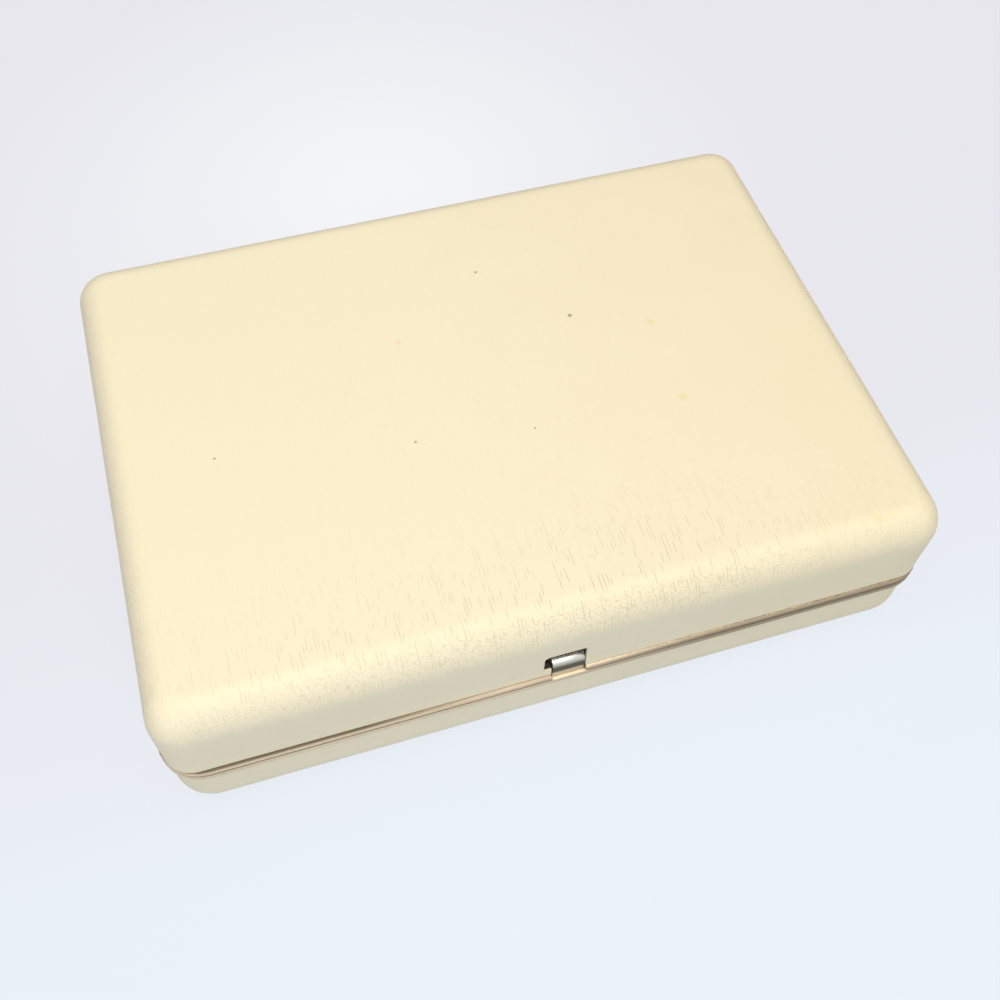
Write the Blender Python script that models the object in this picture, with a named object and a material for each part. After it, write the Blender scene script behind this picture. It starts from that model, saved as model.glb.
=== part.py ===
"""Hinged jewelry case: two pressed shells in cream leatherette, gilt rim rails, a sprung
gilt catch at the front, two small butt hinges at the back, a lined and divided base and
a padded lid. Metres, +Z up, the front faces -Y. The origin is under the middle of the
whole case, hinges included."""

import math

import bmesh
import bpy
from mathutils import Matrix, Vector

# Case body, measured over the leatherette
CASE_WIDTH = 0.267
CASE_DEPTH = 0.1924
BASE_HEIGHT = 0.0290
LID_HEIGHT = 0.0377
CORNER_RADIUS = 0.0134
LID_CORNER_RADIUS = 0.0108
CORNER_FOLLOW = 0.6
LID_EDGE_IN = 0.0105
LID_EDGE_DROP = 0.014
BASE_EDGE_IN = 0.0112
BASE_EDGE_RISE = 0.0115

# Wall layers, from the outside in
COVER_THICKNESS = 0.0008
SHELL_THICKNESS = 0.0009
FIT_GAP = 0.0003
PARTING_GAP = 0.0003

# Gilt rim rails
RAIL_HEIGHT = 0.0025
RAIL_PROUD = 0.0012
RAIL_WEB = 0.0008
RAIL_LEG_THICKNESS = 0.0008
RAIL_LEG_HEIGHT = 0.0048
RAIL_ROUND = 0.001

# Notch in the lid's front wall
NOTCH_LEFT = 0.0066
NOTCH_RIGHT = 0.0057
NOTCH_RIGHT_LEAN = 0.0007
NOTCH_HEIGHT = 0.0162
NOTCH_STEP_WIDTH = 0.0028
NOTCH_STEP_BOTTOM = 0.0062
NOTCH_STEP_ROUND = 0.0021

# Catch lever, bent from sheet
LEVER_SHEET = 0.0008
THUMB_LEFT = 0.0061
THUMB_RIGHT = 0.005
THUMB_ROLL_HEIGHT = 0.007
THUMB_ROLL_RADIUS = 0.0025
THUMB_ROLL_SWEEP = math.radians(250)
LEVER_HALF_WIDTH = 0.0095
LEVER_INSET = 0.0048
LEVER_PLATE_TOP = -0.0004
LEVER_PLATE_FOOT = 0.0065
HORN_WIDTH = 0.0026
HOOK_LENGTH = 0.0012
HOOK_THICKNESS = 0.0007

# Catch pivot, bracket and spring
CATCH_PIVOT_DEPTH = 0.0095
CATCH_PIN_RADIUS = 0.0008
CATCH_PIN_END = 0.0008
BRACKET_SHEET = 0.0008
BRACKET_HALF_WIDTH = 0.014
BRACKET_TOP = 0.0055
BRACKET_HEIGHT = 0.0105
EAR_SIDE_PLAY = 0.0006
EAR_RADIUS = 0.0024
SPRING_WIRE_RADIUS = 0.0002
SPRING_COIL_RADIUS = 0.0015
SPRING_TURNS = 6
SPRING_PITCH = 0.00095
SPRING_POINTS_PER_TURN = 10
SPRING_SPACE_HALF_WIDTH = 0.004
SPRING_LEG_REACH = 0.004

# Strike plate inside the lid's front wall
STRIKE_SHEET = 0.0008
STRIKE_HALF_WIDTH = 0.014
STRIKE_HEIGHT = 0.019
STRIKE_FOOT = 0.0013
STRIKE_LEDGE_DEPTH = 0.001
STRIKE_LEDGE_HEIGHT = 0.0022
STRIKE_RIVET_X = 0.0118
STRIKE_RIVET_HEIGHT = 0.012

# Rivets
RIVET_RADIUS = 0.0009
RIVET_HEAD_RADIUS = 0.0018
RIVET_HEAD_THICKNESS = 0.0008
RIVET_SIDES = 12
BRACKET_RIVET_X = 0.006
BRACKET_RIVET_DEPTH = 0.0137

# Hinges
HINGE_SPACING = 0.15
HINGE_WIDTH = 0.03
HINGE_SHEET = 0.0008
HINGE_LEAF_HEIGHT = 0.0135
HINGE_KNUCKLE_RADIUS = 0.0018
HINGE_PIN_RADIUS = 0.00085
HINGE_AXIS_CLEARANCE = 0.0004
HINGE_MIDDLE_WIDTH = 0.0096
HINGE_KNUCKLE_PLAY = 0.0004
HINGE_SWING_CLEARANCE = 0.00025
HINGE_RIVET_SPACING = HINGE_WIDTH * 0.6
HINGE_RIVET_HEIGHT = 0.008
HINGE_CURL_END = math.radians(20)
HINGE_OPENING = math.radians(100)
STOP_TOOTH_RADIUS = 0.00255
STOP_TOOTH_ANGLE = math.radians(26)
STOP_TOOTH_REST = math.radians(34)
RAIL_STRIP_INSET = 0.00025

# Linings
LINING_THICKNESS = 0.0016
LINING_INSET = 0.0054
BASE_LINING_FRONT_INSET = 0.01
LID_LINING_FRONT_INSET = 0.0092
LINING_CORNER_RADIUS = 0.009
LINING_FLANGE_THICKNESS = 0.001
LINING_FLANGE_SETBACK = 0.0006
LID_LINING_HEIGHT = 0.0285
FLOOR_BOARD_THICKNESS = 0.0025
FLOOR_BOARD_INSET = 0.013
CATCH_WELL_DEPTH = 0.0089

# Compartments
DIVIDER_THICKNESS = 0.0016
DIVIDER_SETBACK = 0.004
LONG_DIVIDER_Y = -0.005
FRONT_DIVIDER_X = -0.010
BACK_DIVIDER_X = 0.042
RING_ROLL_COUNT = 7
RING_ROLL_HEIGHT = 0.0125
RING_ROLL_GAP = 0.0006
RING_ROLL_END_GAP = 0.003
RING_ROLL_SECTION_POINTS = 12

# Padded lid lining
PAD_BOARD_THICKNESS = 0.0016
PAD_BOARD_INSET = 0.0035
PAD_EDGE_HEIGHT = 0.005
PAD_CROWN = 0.006
PAD_SIDE_GAP = 0.0006
PAD_SIDE_DRAW = 0.0018
PAD_WAIST = 0.0007

# Facets
CORNER_STEPS = 7
EDGE_STEPS = 6
PIN_SIDES = 16
CURL_STEPS = 16
PAD_SIDE_STEPS = 8
PAD_CROWN_STEPS = 7

# Places worked out from the sizes above
HALF_GAP = PARTING_GAP / 2
PARTING_Z = BASE_HEIGHT
HINGE_OVERHANG = HINGE_AXIS_CLEARANCE + HINGE_KNUCKLE_RADIUS + STOP_TOOTH_RADIUS
CASE_MIDDLE_Y = (RAIL_PROUD - HINGE_OVERHANG) / 2
FRONT_Y = CASE_MIDDLE_Y - CASE_DEPTH / 2
BACK_Y = CASE_MIDDLE_Y + CASE_DEPTH / 2
SHELL_OUT = COVER_THICKNESS + FIT_GAP
SHELL_IN = SHELL_OUT + SHELL_THICKNESS
RAIL_LEG_OUT = SHELL_IN + FIT_GAP
RAIL_LEG_IN = RAIL_LEG_OUT + RAIL_LEG_THICKNESS
COVER_RIM = HALF_GAP + RAIL_HEIGHT + FIT_GAP
SHELL_RIM = HALF_GAP + RAIL_WEB + FIT_GAP
LINING_EDGE_INSET = RAIL_LEG_IN + FIT_GAP
HINGE_Y = BACK_Y + HINGE_KNUCKLE_RADIUS + HINGE_AXIS_CLEARANCE
CATCH_PIVOT_RADIUS = CATCH_PIN_RADIUS + FIT_GAP + LEVER_SHEET
CATCH_PIVOT_Y = FRONT_Y + LEVER_INSET + CATCH_PIVOT_RADIUS
CATCH_PIVOT_Z = PARTING_Z - CATCH_PIVOT_DEPTH
SHELL_FLOOR_Z = SHELL_IN
BOARD_Z = SHELL_FLOOR_Z + FIT_GAP
TRAY_Z = BOARD_Z + FLOOR_BOARD_THICKNESS + FIT_GAP
TRAY_FLOOR_Z = TRAY_Z + LINING_THICKNESS
TRAY_RIM_Z = PARTING_Z - LINING_FLANGE_SETBACK
DIVIDER_TOP_Z = TRAY_RIM_Z - DIVIDER_SETBACK
TRAY_LEFT_X = -CASE_WIDTH / 2 + LINING_INSET + LINING_THICKNESS
TRAY_RIGHT_X = -TRAY_LEFT_X
TRAY_FRONT_Y = FRONT_Y + BASE_LINING_FRONT_INSET + LINING_THICKNESS
TRAY_BACK_Y = BACK_Y - LINING_INSET - LINING_THICKNESS
LID_CEILING_Z = PARTING_Z + LID_HEIGHT - SHELL_IN


# Materials

def srgb_to_linear(channel):
    """Return the linear value of one sRGB channel."""
    if channel <= 0.04045:
        return channel / 12.92
    return ((channel + 0.055) / 1.055) ** 2.4


def finish(name, colour, roughness, metallic=0.0):
    """Make a Principled material from an sRGB hex colour."""
    material = bpy.data.materials.new(name)
    material.use_nodes = True
    shader = material.node_tree.nodes["Principled BSDF"]
    channels = [int(colour[i:i + 2], 16) / 255 for i in (0, 2, 4)]
    linear = [srgb_to_linear(channel) for channel in channels]
    shader.inputs["Base Color"].default_value = (*linear, 1.0)
    shader.inputs["Roughness"].default_value = roughness
    shader.inputs["Metallic"].default_value = metallic
    material.diffuse_color = (*linear, 1.0)
    return material


def leatherette(name):
    """Cream leatherette."""
    return finish(name, "f6ebcb", 0.5)


def shell_steel(name):
    """Blued sheet steel of the pressed shells."""
    return finish(name, "6f7378", 0.45, 1.0)


def gilt(name):
    """Gilt brass of the rails and the catch."""
    return finish(name, "cdb184", 0.3, 1.0)


def bright_steel(name):
    """Bright steel of hinges, pins and rivets."""
    return finish(name, "a9a59b", 0.35, 1.0)


def velvet(name):
    """Dusty rose velvet of the linings."""
    return finish(name, "8d4a52", 0.95)


def satin(name):
    """Rose satin of the lid's pad."""
    return finish(name, "c48a88", 0.45)


def greyboard(name):
    """Grey stiffening board."""
    return finish(name, "9b9384", 0.9)


# Mesh helpers

def rounded_rectangle(side, front, back, radius, steps=CORNER_STEPS):
    """Plan outline set in from the case's sides, front and back, anticlockwise."""
    half = CASE_WIDTH / 2 - side
    low = FRONT_Y + front
    high = BACK_Y - back
    corners = (
        (half - radius, low + radius, -90),
        (half - radius, high - radius, 0),
        (-half + radius, high - radius, 90),
        (-half + radius, low + radius, 180),
    )
    points = []
    for x, y, start in corners:
        for step in range(steps + 1):
            angle = math.radians(start + 90 * step / steps)
            points.append((x + radius * math.cos(angle), y + radius * math.sin(angle)))
    return points


def case_outline(inset, corner=CORNER_RADIUS):
    """Outline that follows the case's own plan at an inset from the leatherette."""
    return rounded_rectangle(inset, inset, inset, corner - inset * CORNER_FOLLOW)


def at_height(outline, z):
    """Lift a plan outline to a height."""
    return [Vector((x, y, z)) for x, y in outline]


def add_object(name, mesh, material):
    """Link a mesh into the scene under a name, with one material."""
    body = bpy.data.objects.new(name, mesh)
    bpy.context.scene.collection.objects.link(body)
    if material:
        mesh.materials.append(material)
    return body


def shade(mesh, degrees=35):
    """Shade a round piece smooth, with its real edges kept sharp."""
    mesh.shade_smooth()
    mesh.set_sharp_from_angle(angle=math.radians(degrees))


def lofted(name, rings, material=None, looped=False):
    """Skin rings of equal count into one closed body, capped or looped back on itself."""
    bm = bmesh.new()
    loops = [[bm.verts.new(point) for point in ring] for ring in rings]
    pairs = list(zip(loops, loops[1:]))
    if looped:
        pairs.append((loops[-1], loops[0]))
    else:
        bm.faces.new(loops[0])
        bm.faces.new(loops[-1])
    for low, high in pairs:
        for a, b, c, d in zip(low, low[1:] + low[:1], high[1:] + high[:1], high):
            bm.faces.new((a, b, c, d))
    bmesh.ops.recalc_face_normals(bm, faces=bm.faces)
    mesh = bpy.data.meshes.new(name)
    bm.to_mesh(mesh)
    bm.free()
    shade(mesh)
    return add_object(name, mesh, material)


def extruded(name, section, x_low, x_high, material=None):
    """Extrude a section in Y and Z along X."""
    bm = bmesh.new()
    face = bm.faces.new([bm.verts.new((x_low, y, z)) for y, z in section])
    result = bmesh.ops.extrude_face_region(bm, geom=[face])
    moved = [item for item in result["geom"] if isinstance(item, bmesh.types.BMVert)]
    bmesh.ops.translate(bm, verts=moved, vec=(x_high - x_low, 0, 0))
    bmesh.ops.recalc_face_normals(bm, faces=bm.faces)
    mesh = bpy.data.meshes.new(name)
    bm.to_mesh(mesh)
    bm.free()
    shade(mesh)
    return add_object(name, mesh, material)


def block(name, low, high, material=None):
    """Rectangular block between two corners."""
    bm = bmesh.new()
    bmesh.ops.create_cube(bm, size=1.0)
    size = Vector(high) - Vector(low)
    middle = (Vector(high) + Vector(low)) / 2
    bmesh.ops.scale(bm, verts=bm.verts, vec=size)
    bmesh.ops.translate(bm, verts=bm.verts, vec=middle)
    mesh = bpy.data.meshes.new(name)
    bm.to_mesh(mesh)
    bm.free()
    return add_object(name, mesh, material)


def cylinder(name, start, axis, radius, length, sides, material=None):
    """Capped cylinder from a start point along an axis."""
    bm = bmesh.new()
    bmesh.ops.create_cone(
        bm, cap_ends=True, segments=sides, radius1=radius, radius2=radius, depth=length)
    turn = Vector((0, 0, 1)).rotation_difference(Vector(axis)).to_matrix().to_4x4()
    place = Matrix.Translation(Vector(start) + Vector(axis) * (length / 2))
    bmesh.ops.transform(bm, matrix=place @ turn, verts=bm.verts)
    mesh = bpy.data.meshes.new(name)
    bm.to_mesh(mesh)
    bm.free()
    shade(mesh)
    return add_object(name, mesh, material)


def boolean(body, tool, operation):
    """Cut or join a body with a tool, which is kept as a hidden guide."""
    modifier = body.modifiers.new(tool.name, "BOOLEAN")
    modifier.operation = operation
    modifier.solver = "EXACT"
    modifier.object = tool
    tool.hide_render = True
    tool.display_type = "WIRE"


def cut(body, *tools):
    """Cut tools out of a body."""
    for tool in tools:
        boolean(body, tool, "DIFFERENCE")


def join(body, *tools):
    """Join tools to a body."""
    for tool in tools:
        boolean(body, tool, "UNION")


def arc(centre, radius, start, end, steps):
    """Points of an arc in the Y and Z plane, from one angle to another."""
    points = []
    for step in range(steps + 1):
        angle = start + (end - start) * step / steps
        points.append((centre[0] + radius * math.cos(angle), centre[1] + radius * math.sin(angle)))
    return points


# Shells, coverings and rails

def shell_profile(layer, rim, edge_in, edge_height, height):
    """Insets and heights from the flat face to the rim, for one face of a wall layer."""
    profile = []
    for step in range(EDGE_STEPS, -1, -1):
        angle = math.pi / 2 * step / EDGE_STEPS
        inset = layer + (edge_in - layer) * (1 - math.cos(angle))
        level = height - edge_height + (edge_height - layer) * math.sin(angle)
        profile.append((inset, level))
    profile.append((layer, rim))
    return profile


def wall_layer(name, corner, outside, inside, rim, sizes, sign, material):
    """One pressed or wrapped layer of a half: a thin dish, open at the parting plane."""
    outer = shell_profile(outside, rim, *sizes)
    inner = shell_profile(inside, rim, *sizes)
    rings = []
    for inset, level in outer + inner[::-1]:
        rings.append(at_height(case_outline(inset, corner), PARTING_Z + sign * level))
    return lofted(name, rings, material)


def rim_rail(name, sign, material):
    """Gilt channel that grips a shell's rim and ends the leatherette."""
    outer = -RAIL_PROUD
    round_steps = 4
    section = [(COVER_THICKNESS, RAIL_HEIGHT)]
    for step in range(round_steps + 1):
        angle = math.pi / 2 * step / round_steps
        section.append((
            outer + RAIL_ROUND * (1 - math.sin(angle)),
            RAIL_HEIGHT - RAIL_ROUND * (1 - math.cos(angle))))
    for step in range(round_steps + 1):
        angle = math.pi / 2 * step / round_steps
        section.append((
            outer + RAIL_ROUND * (1 - math.cos(angle)),
            RAIL_ROUND * (1 - math.sin(angle))))
    section.append((RAIL_LEG_IN, 0.0))
    section.append((RAIL_LEG_IN, RAIL_LEG_HEIGHT))
    section.append((RAIL_LEG_OUT, RAIL_LEG_HEIGHT))
    section.append((RAIL_LEG_OUT, RAIL_WEB))
    section.append((COVER_THICKNESS, RAIL_WEB))
    rings = []
    for inset, level in section:
        rings.append(at_height(case_outline(inset), PARTING_Z + sign * (HALF_GAP + level)))
    return lofted(name, rings, material, looped=True)


def rail_hinge_cutters(name, centre_x, sign):
    """Clear a rail for a hinge: its bead outside, its face under the leaf and its inner leg."""
    half = HINGE_WIDTH / 2 + FIT_GAP
    low = centre_x - half
    high = centre_x + half
    over = 0.002
    strip_y = BACK_Y - RAIL_STRIP_INSET
    leg_y = BACK_Y - COVER_THICKNESS + FIT_GAP / 2
    inner_y = BACK_Y - RAIL_LEG_IN - over
    face = PARTING_Z - sign * over
    under_leaf = PARTING_Z + sign * (HALF_GAP + HINGE_SHEET + FIT_GAP)
    leg_end = PARTING_Z + sign * (HALF_GAP + RAIL_LEG_HEIGHT + over)
    spans = (
        ("bead", strip_y, BACK_Y + RAIL_PROUD + over, leg_end),
        ("face", inner_y, BACK_Y + RAIL_PROUD + over, under_leaf),
        ("leg", inner_y, leg_y - FIT_GAP, leg_end),
    )
    cutters = []
    for part, y_low, y_high, z_end in spans:
        z_low, z_high = sorted((face, z_end))
        cutters.append(block(f"{name}_{part}", (low, y_low, z_low), (high, y_high, z_high)))
    return cutters


def notch_cutter(name, margin, y_low, y_high):
    """Opening for the thumb piece, with its step at the upper left."""
    left = -NOTCH_LEFT - margin
    right = NOTCH_RIGHT + margin
    step_left = left - NOTCH_STEP_WIDTH
    below = PARTING_Z - HALF_GAP / 2
    step_z = PARTING_Z + NOTCH_STEP_BOTTOM - margin
    top = PARTING_Z + NOTCH_HEIGHT + margin
    outline = [(left, below), (right, below), (right - NOTCH_RIGHT_LEAN, top)]
    centre_x = step_left + NOTCH_STEP_ROUND
    centre_z = top - NOTCH_STEP_ROUND
    outline += arc((centre_x, centre_z), NOTCH_STEP_ROUND, math.pi / 2, math.pi, 3)
    outline += [(step_left, step_z), (left, step_z)]
    rings = [
        [Vector((x, y, z)) for x, z in outline]
        for y in (y_low, y_high)
    ]
    return lofted(name, rings)


def rivet_hole(name, x, z, y_low, y_high):
    """Clearance hole through a wall for one rivet."""
    return cylinder(
        name, (x, y_low, z), (0, 1, 0), RIVET_RADIUS + FIT_GAP, y_high - y_low, RIVET_SIDES)


def rivet(name, x, z, seat_y, end_y, material):
    """Rivet with its head on the inner face at seat_y and its shank out to end_y."""
    direction = 1 if end_y > seat_y else -1
    head_y = seat_y - direction * (FIT_GAP + RIVET_HEAD_THICKNESS)
    body = cylinder(
        name, (x, head_y, z), (0, direction, 0), RIVET_HEAD_RADIUS, RIVET_HEAD_THICKNESS,
        RIVET_SIDES, material)
    overlap = RIVET_HEAD_THICKNESS / 2
    shank_start = seat_y - direction * (FIT_GAP + overlap)
    shank = cylinder(
        f"{name}_shank", (x, shank_start, z), (0, direction, 0), RIVET_RADIUS,
        abs(end_y - shank_start), RIVET_SIDES)
    join(body, shank)
    return body


def hinge_places():
    """Name and middle of each hinge along the back."""
    return (("left", -HINGE_SPACING / 2), ("right", HINGE_SPACING / 2))


def hinge_rivet_places(centre_x):
    """Name and place of the rivets of one leaf."""
    return (("a", centre_x - HINGE_RIVET_SPACING / 2), ("b", centre_x + HINGE_RIVET_SPACING / 2))


def hinge_rivet_holes(prefix, sign, y_low, y_high):
    """Rivet holes of both hinges through one wall."""
    holes = []
    for side, centre_x in hinge_places():
        for letter, x in hinge_rivet_places(centre_x):
            holes.append(rivet_hole(
                f"{prefix}_{side}_{letter}", x, PARTING_Z + sign * HINGE_RIVET_HEIGHT,
                y_low, y_high))
    return holes


def build_base_body():
    """Base covering, shell and rail."""
    sizes = (BASE_EDGE_IN, BASE_EDGE_RISE, BASE_HEIGHT)
    wall_layer(
        "base_covering", CORNER_RADIUS, 0.0, COVER_THICKNESS, COVER_RIM, sizes, -1,
        leatherette("base_covering"))
    shell = wall_layer(
        "base_shell", CORNER_RADIUS, SHELL_OUT, SHELL_IN, SHELL_RIM, sizes, -1,
        shell_steel("base_shell"))
    over = FIT_GAP / 2
    cut(shell, *hinge_rivet_holes(
        "base_shell_hole", -1, BACK_Y - SHELL_IN - over, BACK_Y - SHELL_OUT + over))
    for side, x in (("left", -BRACKET_RIVET_X), ("right", BRACKET_RIVET_X)):
        cut(shell, rivet_hole(
            f"base_shell_bracket_hole_{side}", x, PARTING_Z - BRACKET_RIVET_DEPTH,
            FRONT_Y + SHELL_OUT - over, FRONT_Y + SHELL_IN + over))
    rail = rim_rail("base_rim_rail", -1, gilt("base_rim_rail"))
    for side, centre_x in hinge_places():
        cut(rail, *rail_hinge_cutters(f"base_rail_cut_{side}", centre_x, -1))


def build_lid_body():
    """Lid covering, shell and rail, notched for the catch."""
    sizes = (LID_EDGE_IN, LID_EDGE_DROP, LID_HEIGHT)
    covering = wall_layer(
        "lid_covering", LID_CORNER_RADIUS, 0.0, COVER_THICKNESS, COVER_RIM, sizes, 1,
        leatherette("lid_covering"))
    shell = wall_layer(
        "lid_shell", CORNER_RADIUS, SHELL_OUT, SHELL_IN, SHELL_RIM, sizes, 1,
        shell_steel("lid_shell"))
    over = 0.002
    notch = notch_cutter(
        "lid_notch", 0.0, FRONT_Y - RAIL_PROUD - over, FRONT_Y + RAIL_LEG_IN + over)
    cut(covering, notch)
    cut(shell, notch)
    edge = FIT_GAP / 2
    cut(shell, *hinge_rivet_holes(
        "lid_shell_hole", 1, BACK_Y - SHELL_IN - edge, BACK_Y - SHELL_OUT + edge))
    for side, x in (("left", -STRIKE_RIVET_X), ("right", STRIKE_RIVET_X)):
        cut(shell, rivet_hole(
            f"lid_shell_strike_hole_{side}", x, PARTING_Z + STRIKE_RIVET_HEIGHT,
            FRONT_Y + SHELL_OUT - edge, FRONT_Y + SHELL_IN + edge))
    rail = rim_rail("lid_rim_rail", 1, gilt("lid_rim_rail"))
    cut(rail, notch)
    strike_room = STRIKE_HALF_WIDTH + FIT_GAP
    cut(rail, block(
        "lid_rail_strike_cut",
        (-strike_room, FRONT_Y + RAIL_LEG_OUT - FIT_GAP / 2, PARTING_Z - HALF_GAP / 2),
        (strike_room, FRONT_Y + RAIL_LEG_IN + over, PARTING_Z + RAIL_LEG_HEIGHT + over)))
    for side, centre_x in hinge_places():
        cut(rail, *rail_hinge_cutters(f"lid_rail_cut_{side}", centre_x, 1))
    return [covering, shell, rail]


# Hinges

def leaf_frame(sign):
    """Faces of a leaf's plate and flange: inner, outer, foot, near and far."""
    inner = BACK_Y - SHELL_IN - FIT_GAP - HINGE_SHEET
    outer = inner + HINGE_SHEET
    foot = PARTING_Z + sign * HINGE_LEAF_HEIGHT
    near = PARTING_Z + sign * HALF_GAP
    far = PARTING_Z + sign * (HALF_GAP + HINGE_SHEET)
    return inner, outer, foot, near, far


def knuckle(name, sign, x_low, x_high):
    """Sheet curled round the pin, with a short flange that runs into the leaf."""
    bore = HINGE_PIN_RADIUS + FIT_GAP
    skin = HINGE_SHEET / 16
    near = HALF_GAP + skin
    far = HALF_GAP + HINGE_SHEET - skin
    start = HINGE_Y - HINGE_KNUCKLE_RADIUS - HINGE_SHEET
    outer_start = math.pi + math.asin(far / HINGE_KNUCKLE_RADIUS)
    inner_start = math.pi + math.asin(near / bore)
    end = math.pi * 3 - HINGE_CURL_END
    outer = arc((HINGE_Y, 0.0), HINGE_KNUCKLE_RADIUS, outer_start, end, CURL_STEPS)
    inner = arc((HINGE_Y, 0.0), bore, end, inner_start, CURL_STEPS)
    section = [(start, -far)] + outer + inner + [(start, -near)]
    placed = [(y, PARTING_Z - sign * z) for y, z in section]
    return extruded(name, placed, x_low, x_high)


def hinge_leaf(name, sign, centre_x, spans, material):
    """Riveted leaf: a plate inside the wall, a flange over the rim and curled knuckles."""
    inner, outer, foot, near, far = leaf_frame(sign)
    flange_end = HINGE_Y - HINGE_KNUCKLE_RADIUS - HINGE_SWING_CLEARANCE
    section = [
        (inner, foot), (outer, foot), (outer, far), (flange_end, far), (flange_end, near),
        (inner, near),
    ]
    low = centre_x - HINGE_WIDTH / 2
    high = centre_x + HINGE_WIDTH / 2
    leaf = extruded(name, section, low, high, material)
    for index, (x_low, x_high) in enumerate(spans):
        join(leaf, knuckle(f"{name}_knuckle_{index}", sign, x_low, x_high))
    for letter, x in hinge_rivet_places(centre_x):
        cut(leaf, rivet_hole(
            f"{name}_hole_{letter}", x, PARTING_Z + sign * HINGE_RIVET_HEIGHT,
            inner - FIT_GAP, outer + FIT_GAP))
    return leaf


def stop_tooth(name, x_low, x_high):
    """Tooth on the lid's knuckle that meets the base leaf's flange at full opening."""
    root = HINGE_KNUCKLE_RADIUS - HINGE_SHEET / 4
    first = math.pi + STOP_TOOTH_REST + HINGE_OPENING
    last = first + STOP_TOOTH_ANGLE
    outer = arc((HINGE_Y, PARTING_Z), STOP_TOOTH_RADIUS, first, last, 2)
    inner = arc((HINGE_Y, PARTING_Z), root, last, first, 2)
    return extruded(name, outer + inner, x_low, x_high)


def build_hinges():
    """Both hinges: leaves, pins and rivets. Returns the pieces that ride on the lid."""
    lid_pieces = []
    for side, centre_x in hinge_places():
        middle = HINGE_MIDDLE_WIDTH / 2
        half = HINGE_WIDTH / 2
        split = middle + HINGE_KNUCKLE_PLAY
        base_spans = (
            (centre_x - half, centre_x - split),
            (centre_x + split, centre_x + half),
        )
        lid_spans = ((centre_x - middle, centre_x + middle),)
        hinge_leaf(
            f"hinge_base_leaf_{side}", -1, centre_x, base_spans,
            bright_steel(f"hinge_base_leaf_{side}"))
        lid_leaf = hinge_leaf(
            f"hinge_lid_leaf_{side}", 1, centre_x, lid_spans,
            bright_steel(f"hinge_lid_leaf_{side}"))
        tooth = stop_tooth(
            f"hinge_lid_leaf_{side}_tooth", centre_x - middle + FIT_GAP,
            centre_x + middle - FIT_GAP)
        join(lid_leaf, tooth)
        lid_pieces.append(lid_leaf)
        cylinder(
            f"hinge_pin_{side}", (centre_x - half, HINGE_Y, PARTING_Z), (1, 0, 0),
            HINGE_PIN_RADIUS, HINGE_WIDTH, PIN_SIDES, bright_steel(f"hinge_pin_{side}"))
        seat = BACK_Y - SHELL_IN - FIT_GAP - HINGE_SHEET
        end = BACK_Y - SHELL_OUT
        for letter, x in hinge_rivet_places(centre_x):
            for half_name, sign in (("base", -1), ("lid", 1)):
                name = f"hinge_{half_name}_rivet_{side}_{letter}"
                body = rivet(
                    name, x, PARTING_Z + sign * HINGE_RIVET_HEIGHT, seat, end,
                    bright_steel(name))
                if half_name == "lid":
                    lid_pieces.append(body)
    return lid_pieces


# Catch

def thumb_section():
    """Sheet section of the tongue: up inside, out over the rim, up and rolled back in."""
    plate_in = FRONT_Y + LEVER_INSET + LEVER_SHEET
    plate_out = FRONT_Y + LEVER_INSET
    face_out = FRONT_Y
    face_in = FRONT_Y + LEVER_SHEET
    foot = PARTING_Z - LEVER_PLATE_FOOT - FIT_GAP
    step_low = PARTING_Z + HALF_GAP
    step_high = step_low + LEVER_SHEET
    roll = (face_out + THUMB_ROLL_RADIUS, PARTING_Z + THUMB_ROLL_HEIGHT)
    inner = arc(
        roll, THUMB_ROLL_RADIUS - LEVER_SHEET, math.pi, math.pi - THUMB_ROLL_SWEEP, CURL_STEPS)
    outer = arc(roll, THUMB_ROLL_RADIUS, math.pi - THUMB_ROLL_SWEEP, math.pi, CURL_STEPS)
    return (
        [(plate_in, foot), (plate_in, step_high), (face_in, step_high)]
        + inner + outer
        + [(face_out, step_low), (plate_out, step_low), (plate_out, foot)]
    )


def pivot_section():
    """Sheet section of the lever's foot, curled round the catch pin."""
    skin = LEVER_SHEET / 16
    plate_out = FRONT_Y + LEVER_INSET + skin
    plate_in = FRONT_Y + LEVER_INSET + LEVER_SHEET - skin
    top = PARTING_Z - LEVER_PLATE_FOOT + FIT_GAP * 2
    centre = (CATCH_PIVOT_Y, CATCH_PIVOT_Z)
    end = math.radians(440)
    outer = arc(centre, CATCH_PIVOT_RADIUS - skin, math.pi, end, CURL_STEPS)
    inner = arc(centre, CATCH_PIN_RADIUS + FIT_GAP + skin, end, math.pi, CURL_STEPS)
    return [(plate_out, top)] + outer + inner + [(plate_in, top)]


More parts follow.
